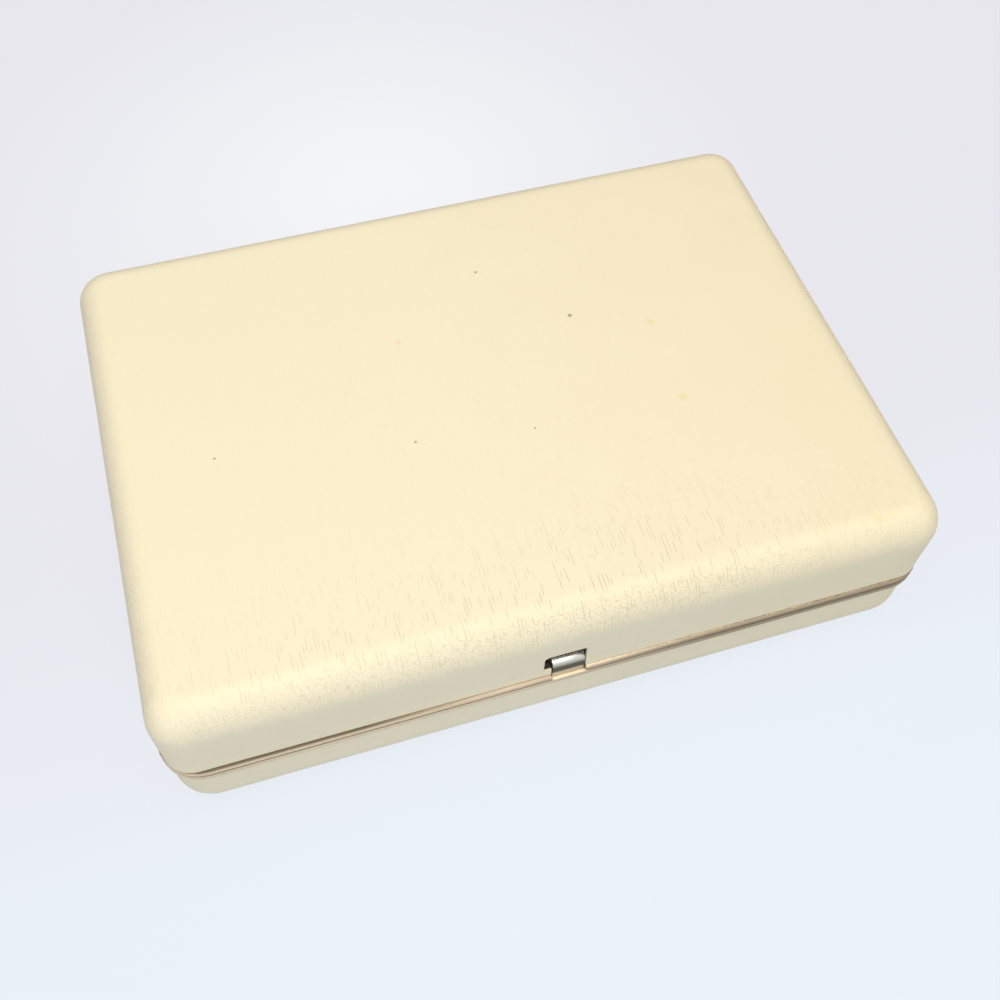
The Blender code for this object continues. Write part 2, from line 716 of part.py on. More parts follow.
def build_catch_lever():
    """Thumb piece, pivot curls and the two hooked horns, all bent from one sheet."""
    lever = extruded(
        "catch_lever", thumb_section(), -THUMB_LEFT, THUMB_RIGHT, gilt("catch_lever"))
    skin = LEVER_SHEET / 16
    plate_low = FRONT_Y + LEVER_INSET + skin
    plate_high = FRONT_Y + LEVER_INSET + LEVER_SHEET - skin
    foot = PARTING_Z - LEVER_PLATE_FOOT
    join(lever, block(
        "catch_lever_plate", (-LEVER_HALF_WIDTH, plate_low, foot),
        (LEVER_HALF_WIDTH, plate_high, PARTING_Z + LEVER_PLATE_TOP)))
    hook_low = PARTING_Z + STRIKE_LEDGE_HEIGHT + STRIKE_SHEET + FIT_GAP
    hook_high = hook_low + HOOK_THICKNESS
    horn_in = LEVER_HALF_WIDTH - HORN_WIDTH
    for side, sign in (("left", -1), ("right", 1)):
        near, far = sorted((sign * SPRING_SPACE_HALF_WIDTH, sign * (LEVER_HALF_WIDTH - skin)))
        join(lever, extruded(f"catch_lever_pivot_{side}", pivot_section(), near, far))
        horn_low, horn_high = sorted((sign * horn_in, sign * (LEVER_HALF_WIDTH - skin)))
        join(lever, block(
            f"catch_lever_horn_{side}", (horn_low, plate_low + skin, foot + FIT_GAP),
            (horn_high, plate_high - skin, hook_high)))
        join(lever, block(
            f"catch_lever_hook_{side}",
            (horn_low + skin, plate_low - HOOK_LENGTH, hook_low),
            (horn_high - skin, plate_high - 2 * skin, hook_high - skin)))
    return lever


def build_catch_mount():
    """Bracket, pivot pin and rivets inside the base's front wall."""
    face = FRONT_Y + SHELL_IN + FIT_GAP
    inner = face + BRACKET_SHEET
    top = PARTING_Z - BRACKET_TOP
    bracket = block(
        "catch_bracket", (-BRACKET_HALF_WIDTH, face, top - BRACKET_HEIGHT),
        (BRACKET_HALF_WIDTH, inner, top), bright_steel("catch_bracket"))
    ear_in = LEVER_HALF_WIDTH + EAR_SIDE_PLAY
    ear_out = ear_in + BRACKET_SHEET
    skin = BRACKET_SHEET / 16
    bore = CATCH_PIN_RADIUS + FIT_GAP
    for side, sign in (("left", -1), ("right", 1)):
        low, high = sorted((sign * ear_in, sign * ear_out))
        join(bracket, block(
            f"catch_bracket_ear_{side}",
            (low, face + skin, CATCH_PIVOT_Z - EAR_RADIUS),
            (high, CATCH_PIVOT_Y + EAR_RADIUS, CATCH_PIVOT_Z + EAR_RADIUS)))
    for side, sign in (("left", -1), ("right", 1)):
        start = sign * (ear_in - BRACKET_SHEET / 2)
        cut(bracket, cylinder(
            f"catch_bracket_bore_{side}", (start, CATCH_PIVOT_Y, CATCH_PIVOT_Z), (sign, 0, 0),
            bore, BRACKET_SHEET * 2, PIN_SIDES))
    pin_half = ear_out + CATCH_PIN_END
    cylinder(
        "catch_pin", (-pin_half, CATCH_PIVOT_Y, CATCH_PIVOT_Z), (1, 0, 0), CATCH_PIN_RADIUS,
        pin_half * 2, PIN_SIDES, bright_steel("catch_pin"))
    rivet_z = PARTING_Z - BRACKET_RIVET_DEPTH
    for side, x in (("left", -BRACKET_RIVET_X), ("right", BRACKET_RIVET_X)):
        cut(bracket, rivet_hole(
            f"catch_bracket_hole_{side}", x, rivet_z, face - FIT_GAP / 2, inner + FIT_GAP))
        name = f"catch_bracket_rivet_{side}"
        rivet(name, x, rivet_z, inner, FRONT_Y + SHELL_OUT, bright_steel(name))


def spring_route():
    """Centre line of the torsion spring: foot leg, coil and the leg behind the lever."""
    half = SPRING_TURNS * SPRING_PITCH / 2
    wall = FRONT_Y + SHELL_IN + FIT_GAP + BRACKET_SHEET
    foot_y = wall + FIT_GAP + SPRING_WIRE_RADIUS
    rest_y = FRONT_Y + LEVER_INSET + LEVER_SHEET + FIT_GAP + SPRING_WIRE_RADIUS
    coil_front = CATCH_PIVOT_Y - SPRING_COIL_RADIUS
    points = []
    for step in range(4):
        share = step / 4
        points.append(Vector((
            -half, foot_y + (coil_front - foot_y) * math.sin(share * math.pi / 2),
            CATCH_PIVOT_Z - SPRING_LEG_REACH * (1 - share))))
    last_angle = SPRING_TURNS * 2 * math.pi + math.pi / 4
    count = SPRING_TURNS * SPRING_POINTS_PER_TURN + 1
    for step in range(count + 1):
        angle = last_angle * step / count
        x = -half + 2 * half * step / count
        points.append(Vector((
            x, CATCH_PIVOT_Y - SPRING_COIL_RADIUS * math.cos(angle),
            CATCH_PIVOT_Z + SPRING_COIL_RADIUS * math.sin(angle))))
    leg_start = points[-1]
    for step in range(1, 5):
        share = step / 4
        points.append(Vector((
            half, leg_start.y + (rest_y - leg_start.y) * math.sin(share * math.pi / 2),
            leg_start.z + (SPRING_LEG_REACH - SPRING_COIL_RADIUS) * share)))
    return points


def least_turn_gap(points, diameter):
    """Least clear distance between parts of the wire a half turn or more apart."""
    apart = SPRING_POINTS_PER_TURN // 2
    least = None
    for first in range(len(points)):
        for second in range(first + apart, len(points)):
            gap = (points[first] - points[second]).length - diameter
            least = gap if least is None else min(least, gap)
    return least


def build_catch_spring():
    """Torsion spring wound round the catch pin."""
    points = spring_route()
    curve = bpy.data.curves.new("catch_spring", "CURVE")
    curve.dimensions = "3D"
    curve.bevel_depth = SPRING_WIRE_RADIUS
    curve.bevel_resolution = 1
    curve.use_fill_caps = True
    spline = curve.splines.new("POLY")
    spline.points.add(len(points) - 1)
    for target, point in zip(spline.points, points):
        target.co = (*point, 1.0)
    gap = least_turn_gap(points, SPRING_WIRE_RADIUS * 2)
    print(f"catch_spring least gap to itself {gap * 1000:.2f} mm")
    add_object("catch_spring", curve, None)
    curve.materials.append(bright_steel("catch_spring"))


def build_strike():
    """Strike plate behind the notch, its two ledges and its rivets."""
    face = FRONT_Y + SHELL_IN + FIT_GAP
    inner = face + STRIKE_SHEET
    strike = block(
        "strike_plate", (-STRIKE_HALF_WIDTH, face, PARTING_Z + STRIKE_FOOT),
        (STRIKE_HALF_WIDTH, inner, PARTING_Z + STRIKE_HEIGHT), bright_steel("strike_plate"))
    margin = LEVER_HALF_WIDTH - HORN_WIDTH - NOTCH_LEFT
    cut(strike, notch_cutter("strike_window", margin, face - FIT_GAP / 2, inner + FIT_GAP))
    skin = STRIKE_SHEET / 16
    ledge_in = NOTCH_LEFT + margin + skin
    ledge_out = LEVER_HALF_WIDTH + FIT_GAP
    ledge_low = PARTING_Z + STRIKE_LEDGE_HEIGHT
    pieces = [strike]
    for side, sign in (("left", -1), ("right", 1)):
        low, high = sorted((sign * ledge_in, sign * ledge_out))
        join(strike, block(
            f"strike_ledge_{side}", (low, face + skin, ledge_low),
            (high, inner + STRIKE_LEDGE_DEPTH, ledge_low + STRIKE_SHEET)))
        x = sign * STRIKE_RIVET_X
        z = PARTING_Z + STRIKE_RIVET_HEIGHT
        cut(strike, rivet_hole(
            f"strike_hole_{side}", x, z, face - FIT_GAP / 2, inner + FIT_GAP))
        name = f"strike_rivet_{side}"
        pieces.append(rivet(name, x, z, inner, FRONT_Y + SHELL_OUT, bright_steel(name)))
    return pieces


# Linings and compartments

def lining_outline(front_inset, extra):
    """Plan outline of a lining's wall, a further inset in from its outer face."""
    return rounded_rectangle(
        LINING_INSET + extra, front_inset + extra, LINING_INSET + extra,
        LINING_CORNER_RADIUS - extra)


def flange_outline():
    """Plan outline of a lining's flange, next to the rail's inner leg."""
    return case_outline(LINING_EDGE_INSET)


def catch_well(name, half_width, z_low, z_high):
    """Room for the lever where it passes a lining's flange."""
    return block(
        name, (-half_width, FRONT_Y + LINING_EDGE_INSET - FIT_GAP, z_low),
        (half_width, FRONT_Y + CATCH_WELL_DEPTH, z_high))


def lining_surround(name, front_inset, far_z, sign, well_half_width):
    """Flanged wall of a lining, from its flange at the parting to its far end."""
    outer = lining_outline(front_inset, 0.0)
    inner = lining_outline(front_inset, LINING_THICKNESS)
    rim_z = PARTING_Z + sign * LINING_FLANGE_SETBACK
    flange_z = rim_z + sign * LINING_FLANGE_THICKNESS
    surround = lofted(name, [
        at_height(outer, far_z),
        at_height(outer, flange_z),
        at_height(flange_outline(), flange_z),
        at_height(flange_outline(), rim_z),
        at_height(inner, rim_z),
        at_height(inner, far_z),
    ], velvet(name), looped=True)
    well_low, well_high = sorted((rim_z - sign * FIT_GAP, flange_z + sign * FIT_GAP))
    cut(surround, catch_well(f"{name}_catch_well", well_half_width, well_low, well_high))
    return surround


def build_base_lining():
    """Floor board, lining floor, flanged surround and the dividers."""
    board = rounded_rectangle(
        FLOOR_BOARD_INSET, FLOOR_BOARD_INSET, FLOOR_BOARD_INSET, LINING_CORNER_RADIUS)
    lofted(
        "floor_board", [at_height(board, z) for z in (BOARD_Z, BOARD_Z + FLOOR_BOARD_THICKNESS)],
        greyboard("floor_board"))
    card = lining_outline(BASE_LINING_FRONT_INSET, 0.0)
    lofted(
        "base_lining_floor", [at_height(card, z) for z in (TRAY_Z, TRAY_FLOOR_Z)],
        velvet("base_lining_floor"))
    lining_surround(
        "base_lining_surround", BASE_LINING_FRONT_INSET, TRAY_FLOOR_Z + FIT_GAP, -1,
        LEVER_HALF_WIDTH + EAR_SIDE_PLAY)
    build_dividers()


def build_dividers():
    """Velvet-covered boards that part the tray into a ring row and three wells."""
    floor = TRAY_FLOOR_Z + FIT_GAP
    half = DIVIDER_THICKNESS / 2
    block(
        "divider_long", (TRAY_LEFT_X + FIT_GAP, LONG_DIVIDER_Y - half, floor),
        (TRAY_RIGHT_X - FIT_GAP, LONG_DIVIDER_Y + half, DIVIDER_TOP_Z), velvet("divider_long"))
    block(
        "divider_front",
        (FRONT_DIVIDER_X - half, TRAY_FRONT_Y + FIT_GAP, floor),
        (FRONT_DIVIDER_X + half, LONG_DIVIDER_Y - half - FIT_GAP, DIVIDER_TOP_Z),
        velvet("divider_front"))
    block(
        "divider_back",
        (BACK_DIVIDER_X - half, LONG_DIVIDER_Y + half + FIT_GAP, floor),
        (BACK_DIVIDER_X + half, TRAY_BACK_Y - FIT_GAP, DIVIDER_TOP_Z), velvet("divider_back"))


def ring_roll_section(width, height, share):
    """Section of a padded roll, flat below and round above, drawn to a share of its size."""
    points = []
    radius = width / 2
    straight = height - radius
    count = RING_ROLL_SECTION_POINTS - 2
    for step in range(count):
        angle = math.pi * step / (count - 1)
        points.append((radius * math.cos(angle), straight + radius * math.sin(angle)))
    points.append((-radius * 0.9, 0.0))
    points.append((radius * 0.9, 0.0))
    middle = height / 2
    return [(y * share, (middle + (z - middle) * share)) for y, z in points]


def build_ring_rolls():
    """Row of padded ring rolls in the front left well."""
    low = TRAY_FRONT_Y + RING_ROLL_GAP
    high = LONG_DIVIDER_Y - DIVIDER_THICKNESS / 2 - RING_ROLL_GAP
    pitch = (high - low + RING_ROLL_GAP) / RING_ROLL_COUNT
    width = pitch - RING_ROLL_GAP
    left = TRAY_LEFT_X + RING_ROLL_END_GAP
    right = FRONT_DIVIDER_X - DIVIDER_THICKNESS / 2 - RING_ROLL_GAP
    floor = TRAY_FLOOR_Z + FIT_GAP
    round_end = width * 0.22
    stations = (
        (left, 0.6), (left + round_end * 0.3, 0.86), (left + round_end, 1.0),
        (right - round_end, 1.0), (right - round_end * 0.3, 0.86), (right, 0.6),
    )
    for index in range(RING_ROLL_COUNT):
        middle_y = low + width / 2 + pitch * index
        rings = []
        for x, share in stations:
            section = ring_roll_section(width, RING_ROLL_HEIGHT, share)
            rings.append([Vector((x, middle_y + y, floor + z)) for y, z in section])
        name = f"ring_roll_{index + 1}"
        lofted(name, rings, velvet(name))


def build_lid_lining():
    """Lining surround, pad board and crowned satin pad inside the lid."""
    surround = lining_surround(
        "lid_lining_surround", LID_LINING_FRONT_INSET,
        PARTING_Z + LINING_FLANGE_SETBACK + LID_LINING_HEIGHT, 1, STRIKE_HALF_WIDTH + FIT_GAP * 2)
    board_top = LID_CEILING_Z - FIT_GAP
    board_low = board_top - PAD_BOARD_THICKNESS
    inset = LINING_THICKNESS + PAD_SIDE_GAP + PAD_BOARD_INSET
    board = lining_outline(LID_LINING_FRONT_INSET, inset)
    board_body = lofted(
        "lid_pad_board", [at_height(board, board_low), at_height(board, board_top)],
        greyboard("lid_pad_board"))
    pad = lofted("lid_pad", pad_rings(board_low - FIT_GAP), satin("lid_pad"))
    return [surround, board_body, pad]


def pad_outline(extra):
    """Plan outline of the pad, its sides drawn in between the corners."""
    inset = LINING_THICKNESS + PAD_SIDE_GAP + extra
    half = CASE_WIDTH / 2 - LINING_INSET - inset
    low = FRONT_Y + LID_LINING_FRONT_INSET + inset
    high = BACK_Y - LINING_INSET - inset
    middle = (low + high) / 2
    depth = (high - low) / 2
    plain = rounded_rectangle(
        CASE_WIDTH / 2 - half, low - FRONT_Y, BACK_Y - high,
        max(LINING_CORNER_RADIUS - inset, LINING_CORNER_RADIUS / 3), 3)
    points = []
    for index, (x, y) in enumerate(plain):
        after_x, after_y = plain[(index + 1) % len(plain)]
        run = math.hypot(after_x - x, after_y - y)
        steps = PAD_SIDE_STEPS if run > depth / 2 else 1
        for step in range(steps):
            share = step / steps
            px = x + (after_x - x) * share
            py = y + (after_y - y) * share
            draw_x = PAD_SIDE_DRAW * (1 - ((py - middle) / depth) ** 2)
            draw_y = PAD_SIDE_DRAW * (1 - (px / half) ** 2)
            on_side = abs(px) > half - PAD_SIDE_DRAW
            on_end = abs(py - middle) > depth - PAD_SIDE_DRAW
            px -= math.copysign(draw_x, px) * on_side
            py -= math.copysign(draw_y, py - middle) * on_end
            points.append((px, py))
    return points


def pad_rings(back_z):
    """Rings of the pad from its flat back, round its waist and over its crown."""
    face_z = back_z - PAD_EDGE_HEIGHT
    rings = [
        at_height(pad_outline(PAD_WAIST), back_z),
        at_height(pad_outline(0.0), back_z - PAD_EDGE_HEIGHT * 0.35),
        at_height(pad_outline(0.0), back_z - PAD_EDGE_HEIGHT * 0.65),
        at_height(pad_outline(PAD_WAIST), face_z),
    ]
    reach = CASE_DEPTH / 2 - LID_LINING_FRONT_INSET - LINING_THICKNESS
    for step in range(1, PAD_CROWN_STEPS + 1):
        share = step / (PAD_CROWN_STEPS + 1)
        inset = PAD_WAIST + reach * 0.82 * share ** 1.6
        drop = PAD_CROWN * math.sin(share * math.pi / 2) ** 0.8
        rings.append(at_height(pad_outline(inset), face_z - drop))
    return rings


# Assembly

def clear_scene():
    """Remove every object that is in the scene."""
    for item in list(bpy.data.objects):
        bpy.data.objects.remove(item, do_unlink=True)


def pivot_empty(name, location):
    """Empty on a joint's axis, which carries the pieces that turn about it."""
    empty = bpy.data.objects.new(name, None)
    empty.location = location
    bpy.context.scene.collection.objects.link(empty)
    return empty


def hang_on(empty, pieces):
    """Parent pieces to an empty and leave them where they are."""
    offset = Matrix.Translation(empty.location).inverted()
    for piece in pieces:
        piece.parent = empty
        piece.matrix_parent_inverse = offset


def main():
    """Build the case, closed."""
    clear_scene()
    build_base_body()
    build_base_lining()
    build_ring_rolls()
    build_catch_mount()
    build_catch_spring()
    lid_pieces = build_lid_body() + build_strike() + build_lid_lining() + build_hinges()
    lever = build_catch_lever()
    hang_on(pivot_empty("lid_hinge_axis", (0, HINGE_Y, PARTING_Z)), lid_pieces)
    hang_on(pivot_empty("catch_pivot_axis", (0, CATCH_PIVOT_Y, CATCH_PIVOT_Z)), [lever])


main()
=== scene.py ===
"""Looks of a cream leatherette jewelry case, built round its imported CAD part.

The leatherette, the ring rolls and the pad are modelled here. The rails, the catch, the
hinges, the linings, the shells and the boards are the CAD part's own solids, most of them
with softened edges.
"""

import logging
import math
from dataclasses import dataclass
from enum import Enum

import bmesh
import bpy
from mathutils import Matrix, Vector, noise


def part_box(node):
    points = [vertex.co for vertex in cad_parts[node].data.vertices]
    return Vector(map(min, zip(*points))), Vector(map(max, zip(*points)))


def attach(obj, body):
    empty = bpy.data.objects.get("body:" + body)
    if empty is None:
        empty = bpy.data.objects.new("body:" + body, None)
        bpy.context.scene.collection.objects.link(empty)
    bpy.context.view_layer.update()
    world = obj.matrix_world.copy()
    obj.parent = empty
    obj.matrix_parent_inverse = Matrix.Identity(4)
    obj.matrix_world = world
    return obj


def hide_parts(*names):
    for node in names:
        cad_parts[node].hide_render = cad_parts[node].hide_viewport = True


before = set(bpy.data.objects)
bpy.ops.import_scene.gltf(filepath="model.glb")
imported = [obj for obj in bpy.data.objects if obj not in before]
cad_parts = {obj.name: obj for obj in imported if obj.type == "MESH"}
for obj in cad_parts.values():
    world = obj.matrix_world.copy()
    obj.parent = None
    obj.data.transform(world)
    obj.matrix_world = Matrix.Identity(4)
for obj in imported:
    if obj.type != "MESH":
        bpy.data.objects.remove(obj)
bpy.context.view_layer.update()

log = logging.getLogger("jewelry_case")

MM = 0.001

Tree = bpy.types.NodeTree
Node = bpy.types.Node
Socket = bpy.types.NodeSocket
Material = bpy.types.Material
Piece = bpy.types.Object
Mesh = bmesh.types.BMesh
Colour = tuple[float, float, float, float]


class Half(Enum):
    """The two halves of the case, with the way that each rises from the parting."""

    LID = 1
    BASE = -1


@dataclass(frozen=True)
class CaseSizes:
    """Sizes that the pieces share, in metres, in the part's own frame."""

    width: float = 0.267
    depth: float = 0.1924
    middle_y: float = -0.001775
    parting_z: float = 0.0290
    lid_height: float = 0.0377
    base_height: float = 0.0290
    corner_follow: float = 0.6

    @property
    def front_y(self) -> float:
        """Front face of the leatherette."""
        return self.middle_y - self.depth / 2

    @property
    def back_y(self) -> float:
        """Back face of the leatherette."""
        return self.middle_y + self.depth / 2

    @property
    def top_z(self) -> float:
        """Flat top of the closed lid."""
        return self.parting_z + self.lid_height


SIZES = CaseSizes()


# Shared helpers

def linear(colour: str) -> Colour:
    """Turn an sRGB hex colour to linear.

    Args:
        colour: Six hex digits.

    Returns:
        Linear red, green and blue, and an alpha of 1.
    """
    channels = []
    for start in (0, 2, 4):
        value = int(colour[start:start + 2], 16) / 255
        channels.append(value / 12.92 if value <= 0.04045 else ((value + 0.055) / 1.055) ** 2.4)
    return (*channels, 1.0)


def feed(tree: Tree, node: Node, inputs: tuple | dict) -> None:
    """Set or link a node's inputs.

    Args:
        tree: Tree that holds the node.
        node: The node.
        inputs: Values, sockets or nodes, by name or in the order of the inputs in use. A node
            gives its first output in use. A map range's are the value, the two ends that it
            runs between, and what these become.
    """
    if isinstance(inputs, tuple):
        pairs = zip([socket for socket in node.inputs if socket.enabled], inputs)
    else:
        pairs = [(node.inputs[name], value) for name, value in inputs.items()]
    for socket, value in pairs:
        if isinstance(value, Node):
            value = next(output for output in value.outputs if output.enabled)
        if isinstance(value, Socket):
            tree.links.new(value, socket)
        else:
            socket.default_value = value


def add_node(tree: Tree, kind: str, inputs: tuple | dict = (), **settings: object) -> Node:
    """Add a shader node with its settings, and set or link its inputs.

    Args:
        tree: Tree that gets the node.
        kind: Node type name, without the part that all of them share.
        inputs: As feed takes them.
        settings: Attributes to set on the node.

    Returns:
        The node.
    """
    node = tree.nodes.new(f"ShaderNode{kind}")
    for name, value in settings.items():
        setattr(node, name, value)
    feed(tree, node, inputs)
    return node


def new_material(name: str) -> tuple[Material, Tree, Node, Socket]:
    """Make a material with a bare Principled shader.

    Args:
        name: Name of the material.

    Returns:
        The material, its tree, its shader and the object's own coordinates.
    """
    material = bpy.data.materials.new(name)
    material.use_nodes = True
    tree = material.node_tree
    where = add_node(tree, "TexCoord").outputs["Object"]
    return material, tree, tree.nodes["Principled BSDF"], where


def finished(name: str, bm: Mesh, smooth: bool = True) -> Piece:
    """Turn a bmesh into a linked object at the origin.

    Args:
        name: Name of the piece.
        bm: The mesh, which is freed.
        smooth: Whether its faces are shaded smooth.

    Returns:
        The piece.
    """
    mesh = bpy.data.meshes.new(name)
    bm.to_mesh(mesh)
    bm.free()
    if smooth:
        mesh.shade_smooth()
    piece = bpy.data.objects.new(name, mesh)
    bpy.context.scene.collection.objects.link(piece)
    return piece


def modify(piece: Piece, name: str, kind: str, **settings: object) -> bpy.types.Modifier:
    """Add a modifier with its settings.

    Args:
        piece: Piece that gets it.
        name: Name of the modifier.
        kind: Modifier type name.
        settings: Attributes to set on it.

    Returns:
        The modifier.
    """
    modifier = piece.modifiers.new(name, kind)
    for setting, value in settings.items():
        setattr(modifier, setting, value)
    return modifier


def freeze(piece: Piece) -> None:
    """Apply a piece's modifiers to its mesh.

    Args:
        piece: The piece.
    """
    graph = bpy.context.evaluated_depsgraph_get()
    graph.update()
    mesh = bpy.data.meshes.new_from_object(piece.evaluated_get(graph))
    piece.modifiers.clear()
    piece.data = mesh


def paint(piece: Piece, material: Material) -> None:
    """Give a piece its one material."""
    piece.data.materials.clear()
    piece.data.materials.append(material)


def dress(piece: Piece, material: Material) -> None:
    """Give a piece its one material."""
    paint(piece, material)


def soften(piece: Piece, width: float, segments: int) -> None:
    """Round the edges of a carried-over solid.

    Args:
        piece: The solid, as loose triangles.
        width: Width of the rounding, in metres.
        segments: Faces across the rounding.
    """
    piece.data.shade_smooth()
    modify(piece, "weld", "WELD", merge_threshold=0.000002)
    modify(
        piece, "edges", "BEVEL", width=width, segments=segments, limit_method="ANGLE",
        angle_limit=math.radians(38), harden_normals=True, use_clamp_overlap=True)


def joined_solid(node: str) -> Mesh:
    """Copy a CAD solid's mesh, with its loose triangles joined.

    Args:
        node: The solid's node.

    Returns:
        The mesh.
    """
    bm = bmesh.new()
    bm.from_mesh(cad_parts[node].data)
    bmesh.ops.remove_doubles(bm, verts=bm.verts, dist=0.000005)
    return bm


def round_corners(bm: Mesh, corners: list, radius: float, segments: int) -> None:
    """Round corners of a flat outline.

    Args:
        bm: The mesh.
        corners: Its vertices at those corners.
        radius: Radius of the rounding.
        segments: Edges across the rounding.
    """
    bmesh.ops.bevel(
        bm, geom=corners, offset=radius, offset_type="OFFSET", affect="VERTICES",
        segments=segments, profile=0.5, material=-1)


def thicken(bm: Mesh, faces: list, way: tuple) -> None:
    """Draw faces out to a closed solid, with its normals outward.

    Args:
        bm: The mesh.
        faces: The faces.
        way: How far and which way they are drawn.
    """
    grown = bmesh.ops.extrude_face_region(bm, geom=faces)
    moved = [item for item in grown["geom"] if isinstance(item, bmesh.types.BMVert)]
    bmesh.ops.translate(bm, verts=moved, vec=way)
    bmesh.ops.recalc_face_normals(bm, faces=bm.faces)


# Finishes

@dataclass(frozen=True)
class Leatherette:
    """Vinyl-coated book cloth, embossed with a long grain and glued over the shell."""

    name: str = "vinyl_leatherette_long_grain"
    face: str = "f4e7c6"
    shade: str = "efe0bb"
    crease_dirt: str = "a5966a"
    dirt_share: float = 0.46
    stain: str = "ecd27c"
    speck: str = "6b5a3a"
    roughness: float = 0.67
    groove_depth: float = 2.2
    long_pitch: float = 1.3
    long_length: float = 5.0
    long_line: tuple = (0.02, 0.13, 1.0, 0.0)
    long_breaks: tuple = (0.51, 0.62)
    crack_pitch: float = 1.25
    crack_line: tuple = (0.01, 0.09, 1.0, 0.0)
    crack_gape: tuple = (0.38, 0.64, 0.2, 0.9)
    front_wear: tuple = (-0.05, -0.088, 0.14, 0.95)
    left_wear: tuple = (-0.13, 0.0, 0.5, 1.0)
    right_wear: tuple = (0.05, 0.1, 1.0, 0.45)
    rightward_tone: tuple = (0.13, -0.06)
    specks: tuple = (
        (38.1, 22.2, 1.0), (11.1, 52.1, 0.7), (-30.5, -16.8, 0.6), (-96.4, -4.8, 0.55),
        (10.1, -22.6, 0.5))
    stains: tuple = (
        (107.2, -89.0, 2.4), (65.3, 11.1, 1.8), (-25.3, 26.8, 1.6), (63.9, -24.2, 2.2))

    def build(self, marks: bool) -> Material:
        """Build the material.

        Args:
            marks: Whether it carries the specks and stains of the lid's top.

        Returns:
            The material.
        """
        name = self.name if marks else f"{self.name}_base"
        material, tree, shader, where = new_material(name)
        # The sheet is hand-glued, so its grain wanders by about a quarter of a millimetre
        drift = add_node(tree, "TexNoise", (where, 160.0, 1.0)).outputs["Color"]
        swayed = add_node(
            tree, "VectorMath", (drift, (0.0008, 0.0008, 0.0008), where),
            operation="MULTIPLY_ADD")
        opened, bent = self.wear(tree, where)
        along = self.long_creases(tree, where)
        cracks = self.crackle(tree, swayed)
        along = add_node(tree, "Math", (along, opened), operation="MULTIPLY")
        cracks = add_node(tree, "Math", (cracks, bent), operation="MULTIPLY")
        grooves = add_node(tree, "Math", (along, cracks), operation="MAXIMUM")
        # Fine straight grain, about 0.7 mm wide and 2.4 mm long, embossed all over
        stretched = add_node(
            tree, "Mapping", {"Vector": where, "Scale": (1500.0, 420.0, 420.0)})
        grain = add_node(tree, "TexNoise", (stretched, 1.0, 2.0))
        height = add_node(
            tree, "Math", (grooves, -self.groove_depth, grain), operation="MULTIPLY_ADD")
        bump = add_node(tree, "Bump", {"Height": height, "Strength": 0.7, "Distance": 0.00006})
        # Broad unevenness of the glued sheet, about 25 mm across
        broad = add_node(tree, "TexNoise", (where, 42.0, 2.0))
        uneven = add_node(tree, "Bump", {
            "Height": broad, "Strength": 0.3, "Distance": 0.0006, "Normal": bump})
        # Towards the right end the sheet is darker and yellower
        place = add_node(tree, "SeparateXYZ", (where,))
        face_share = add_node(tree, "MapRange", (place.outputs["X"], *self.rightward_tone))
        face_share = add_node(
            tree, "Math", (broad, 0.5, face_share), operation="MULTIPLY_ADD", use_clamp=True)
        tone = add_node(
            tree, "Mix", (face_share, linear(self.shade), linear(self.face)), data_type="RGBA")
        dirt = add_node(tree, "Math", (grooves, self.dirt_share), operation="MULTIPLY")
        colour = add_node(tree, "Mix", (dirt, tone, linear(self.crease_dirt)), data_type="RGBA")
        if marks:
            colour = self.add_marks(tree, where, colour)
        feed(tree, shader, {
            "Base Color": colour, "Normal": uneven, "Roughness": self.roughness, "IOR": 1.5})
        return material

    def wear(self, tree: Tree, where: Socket) -> list[Node]:
        """Work out where handling has opened the grain.

        Args:
            tree: The material's tree.
            where: Object position.

        Returns:
            How open the long grain is, and how cracked the bent edges are, from 0 to 1.
        """
        x, y, z = add_node(tree, "SeparateXYZ", (where,)).outputs
        front = add_node(tree, "MapRange", (y, *self.front_wear))
        side = add_node(tree, "MapRange", (x, *self.left_wear))
        # The right end has been handled less
        far = add_node(tree, "MapRange", (x, *self.right_wear))
        side = add_node(tree, "Math", (side, far), operation="MULTIPLY")
        # The bent edge starts at the flat face; the wall below it is little worn
        top = SIZES.top_z
        bend = add_node(tree, "MapRange", (z, top + 0.0001, top - 0.002, 0.0, 1.0))
        wall = add_node(tree, "MapRange", (z, top - 0.014, top - 0.007, 0.22, 1.0))
        masks = []
        for mask, others in ((front, (side, wall)), (bend, (wall, side))):
            for other in others:
                mask = add_node(tree, "Math", (mask, other), operation="MULTIPLY")
            masks.append(mask)
        return masks

    def long_creases(self, tree: Tree, where: Socket) -> Node:
        """Draw the fine creases that run from front to back, each some millimetres long.

        Args:
            tree: The material's tree.
            where: Position on the sheet.

        Returns:
            The creases, from 0 to 1.
        """
        place = add_node(tree, "SeparateXYZ", (where,))
        bend = add_node(tree, "TexNoise", (where, 70.0, 1.0))
        row = add_node(
            tree, "Math", (place.outputs["X"], 1 / (self.long_pitch * MM), bend),
            operation="MULTIPLY_ADD")
        rows = add_node(
            tree, "TexVoronoi", {"W": row, "Scale": 1.0}, voronoi_dimensions="1D",
            feature="DISTANCE_TO_EDGE")
        line = add_node(tree, "MapRange", (rows, *self.long_line))
        length = 1 / (self.long_length * MM)
        stretched = add_node(
            tree, "Mapping", {"Vector": where, "Scale": (length * 3.0, length, length)})
        breaks = add_node(tree, "TexNoise", (stretched, 1.0, 1.0))
        kept = add_node(tree, "MapRange", (breaks, *self.long_breaks))
        return add_node(tree, "Math", (line, kept), operation="MULTIPLY")

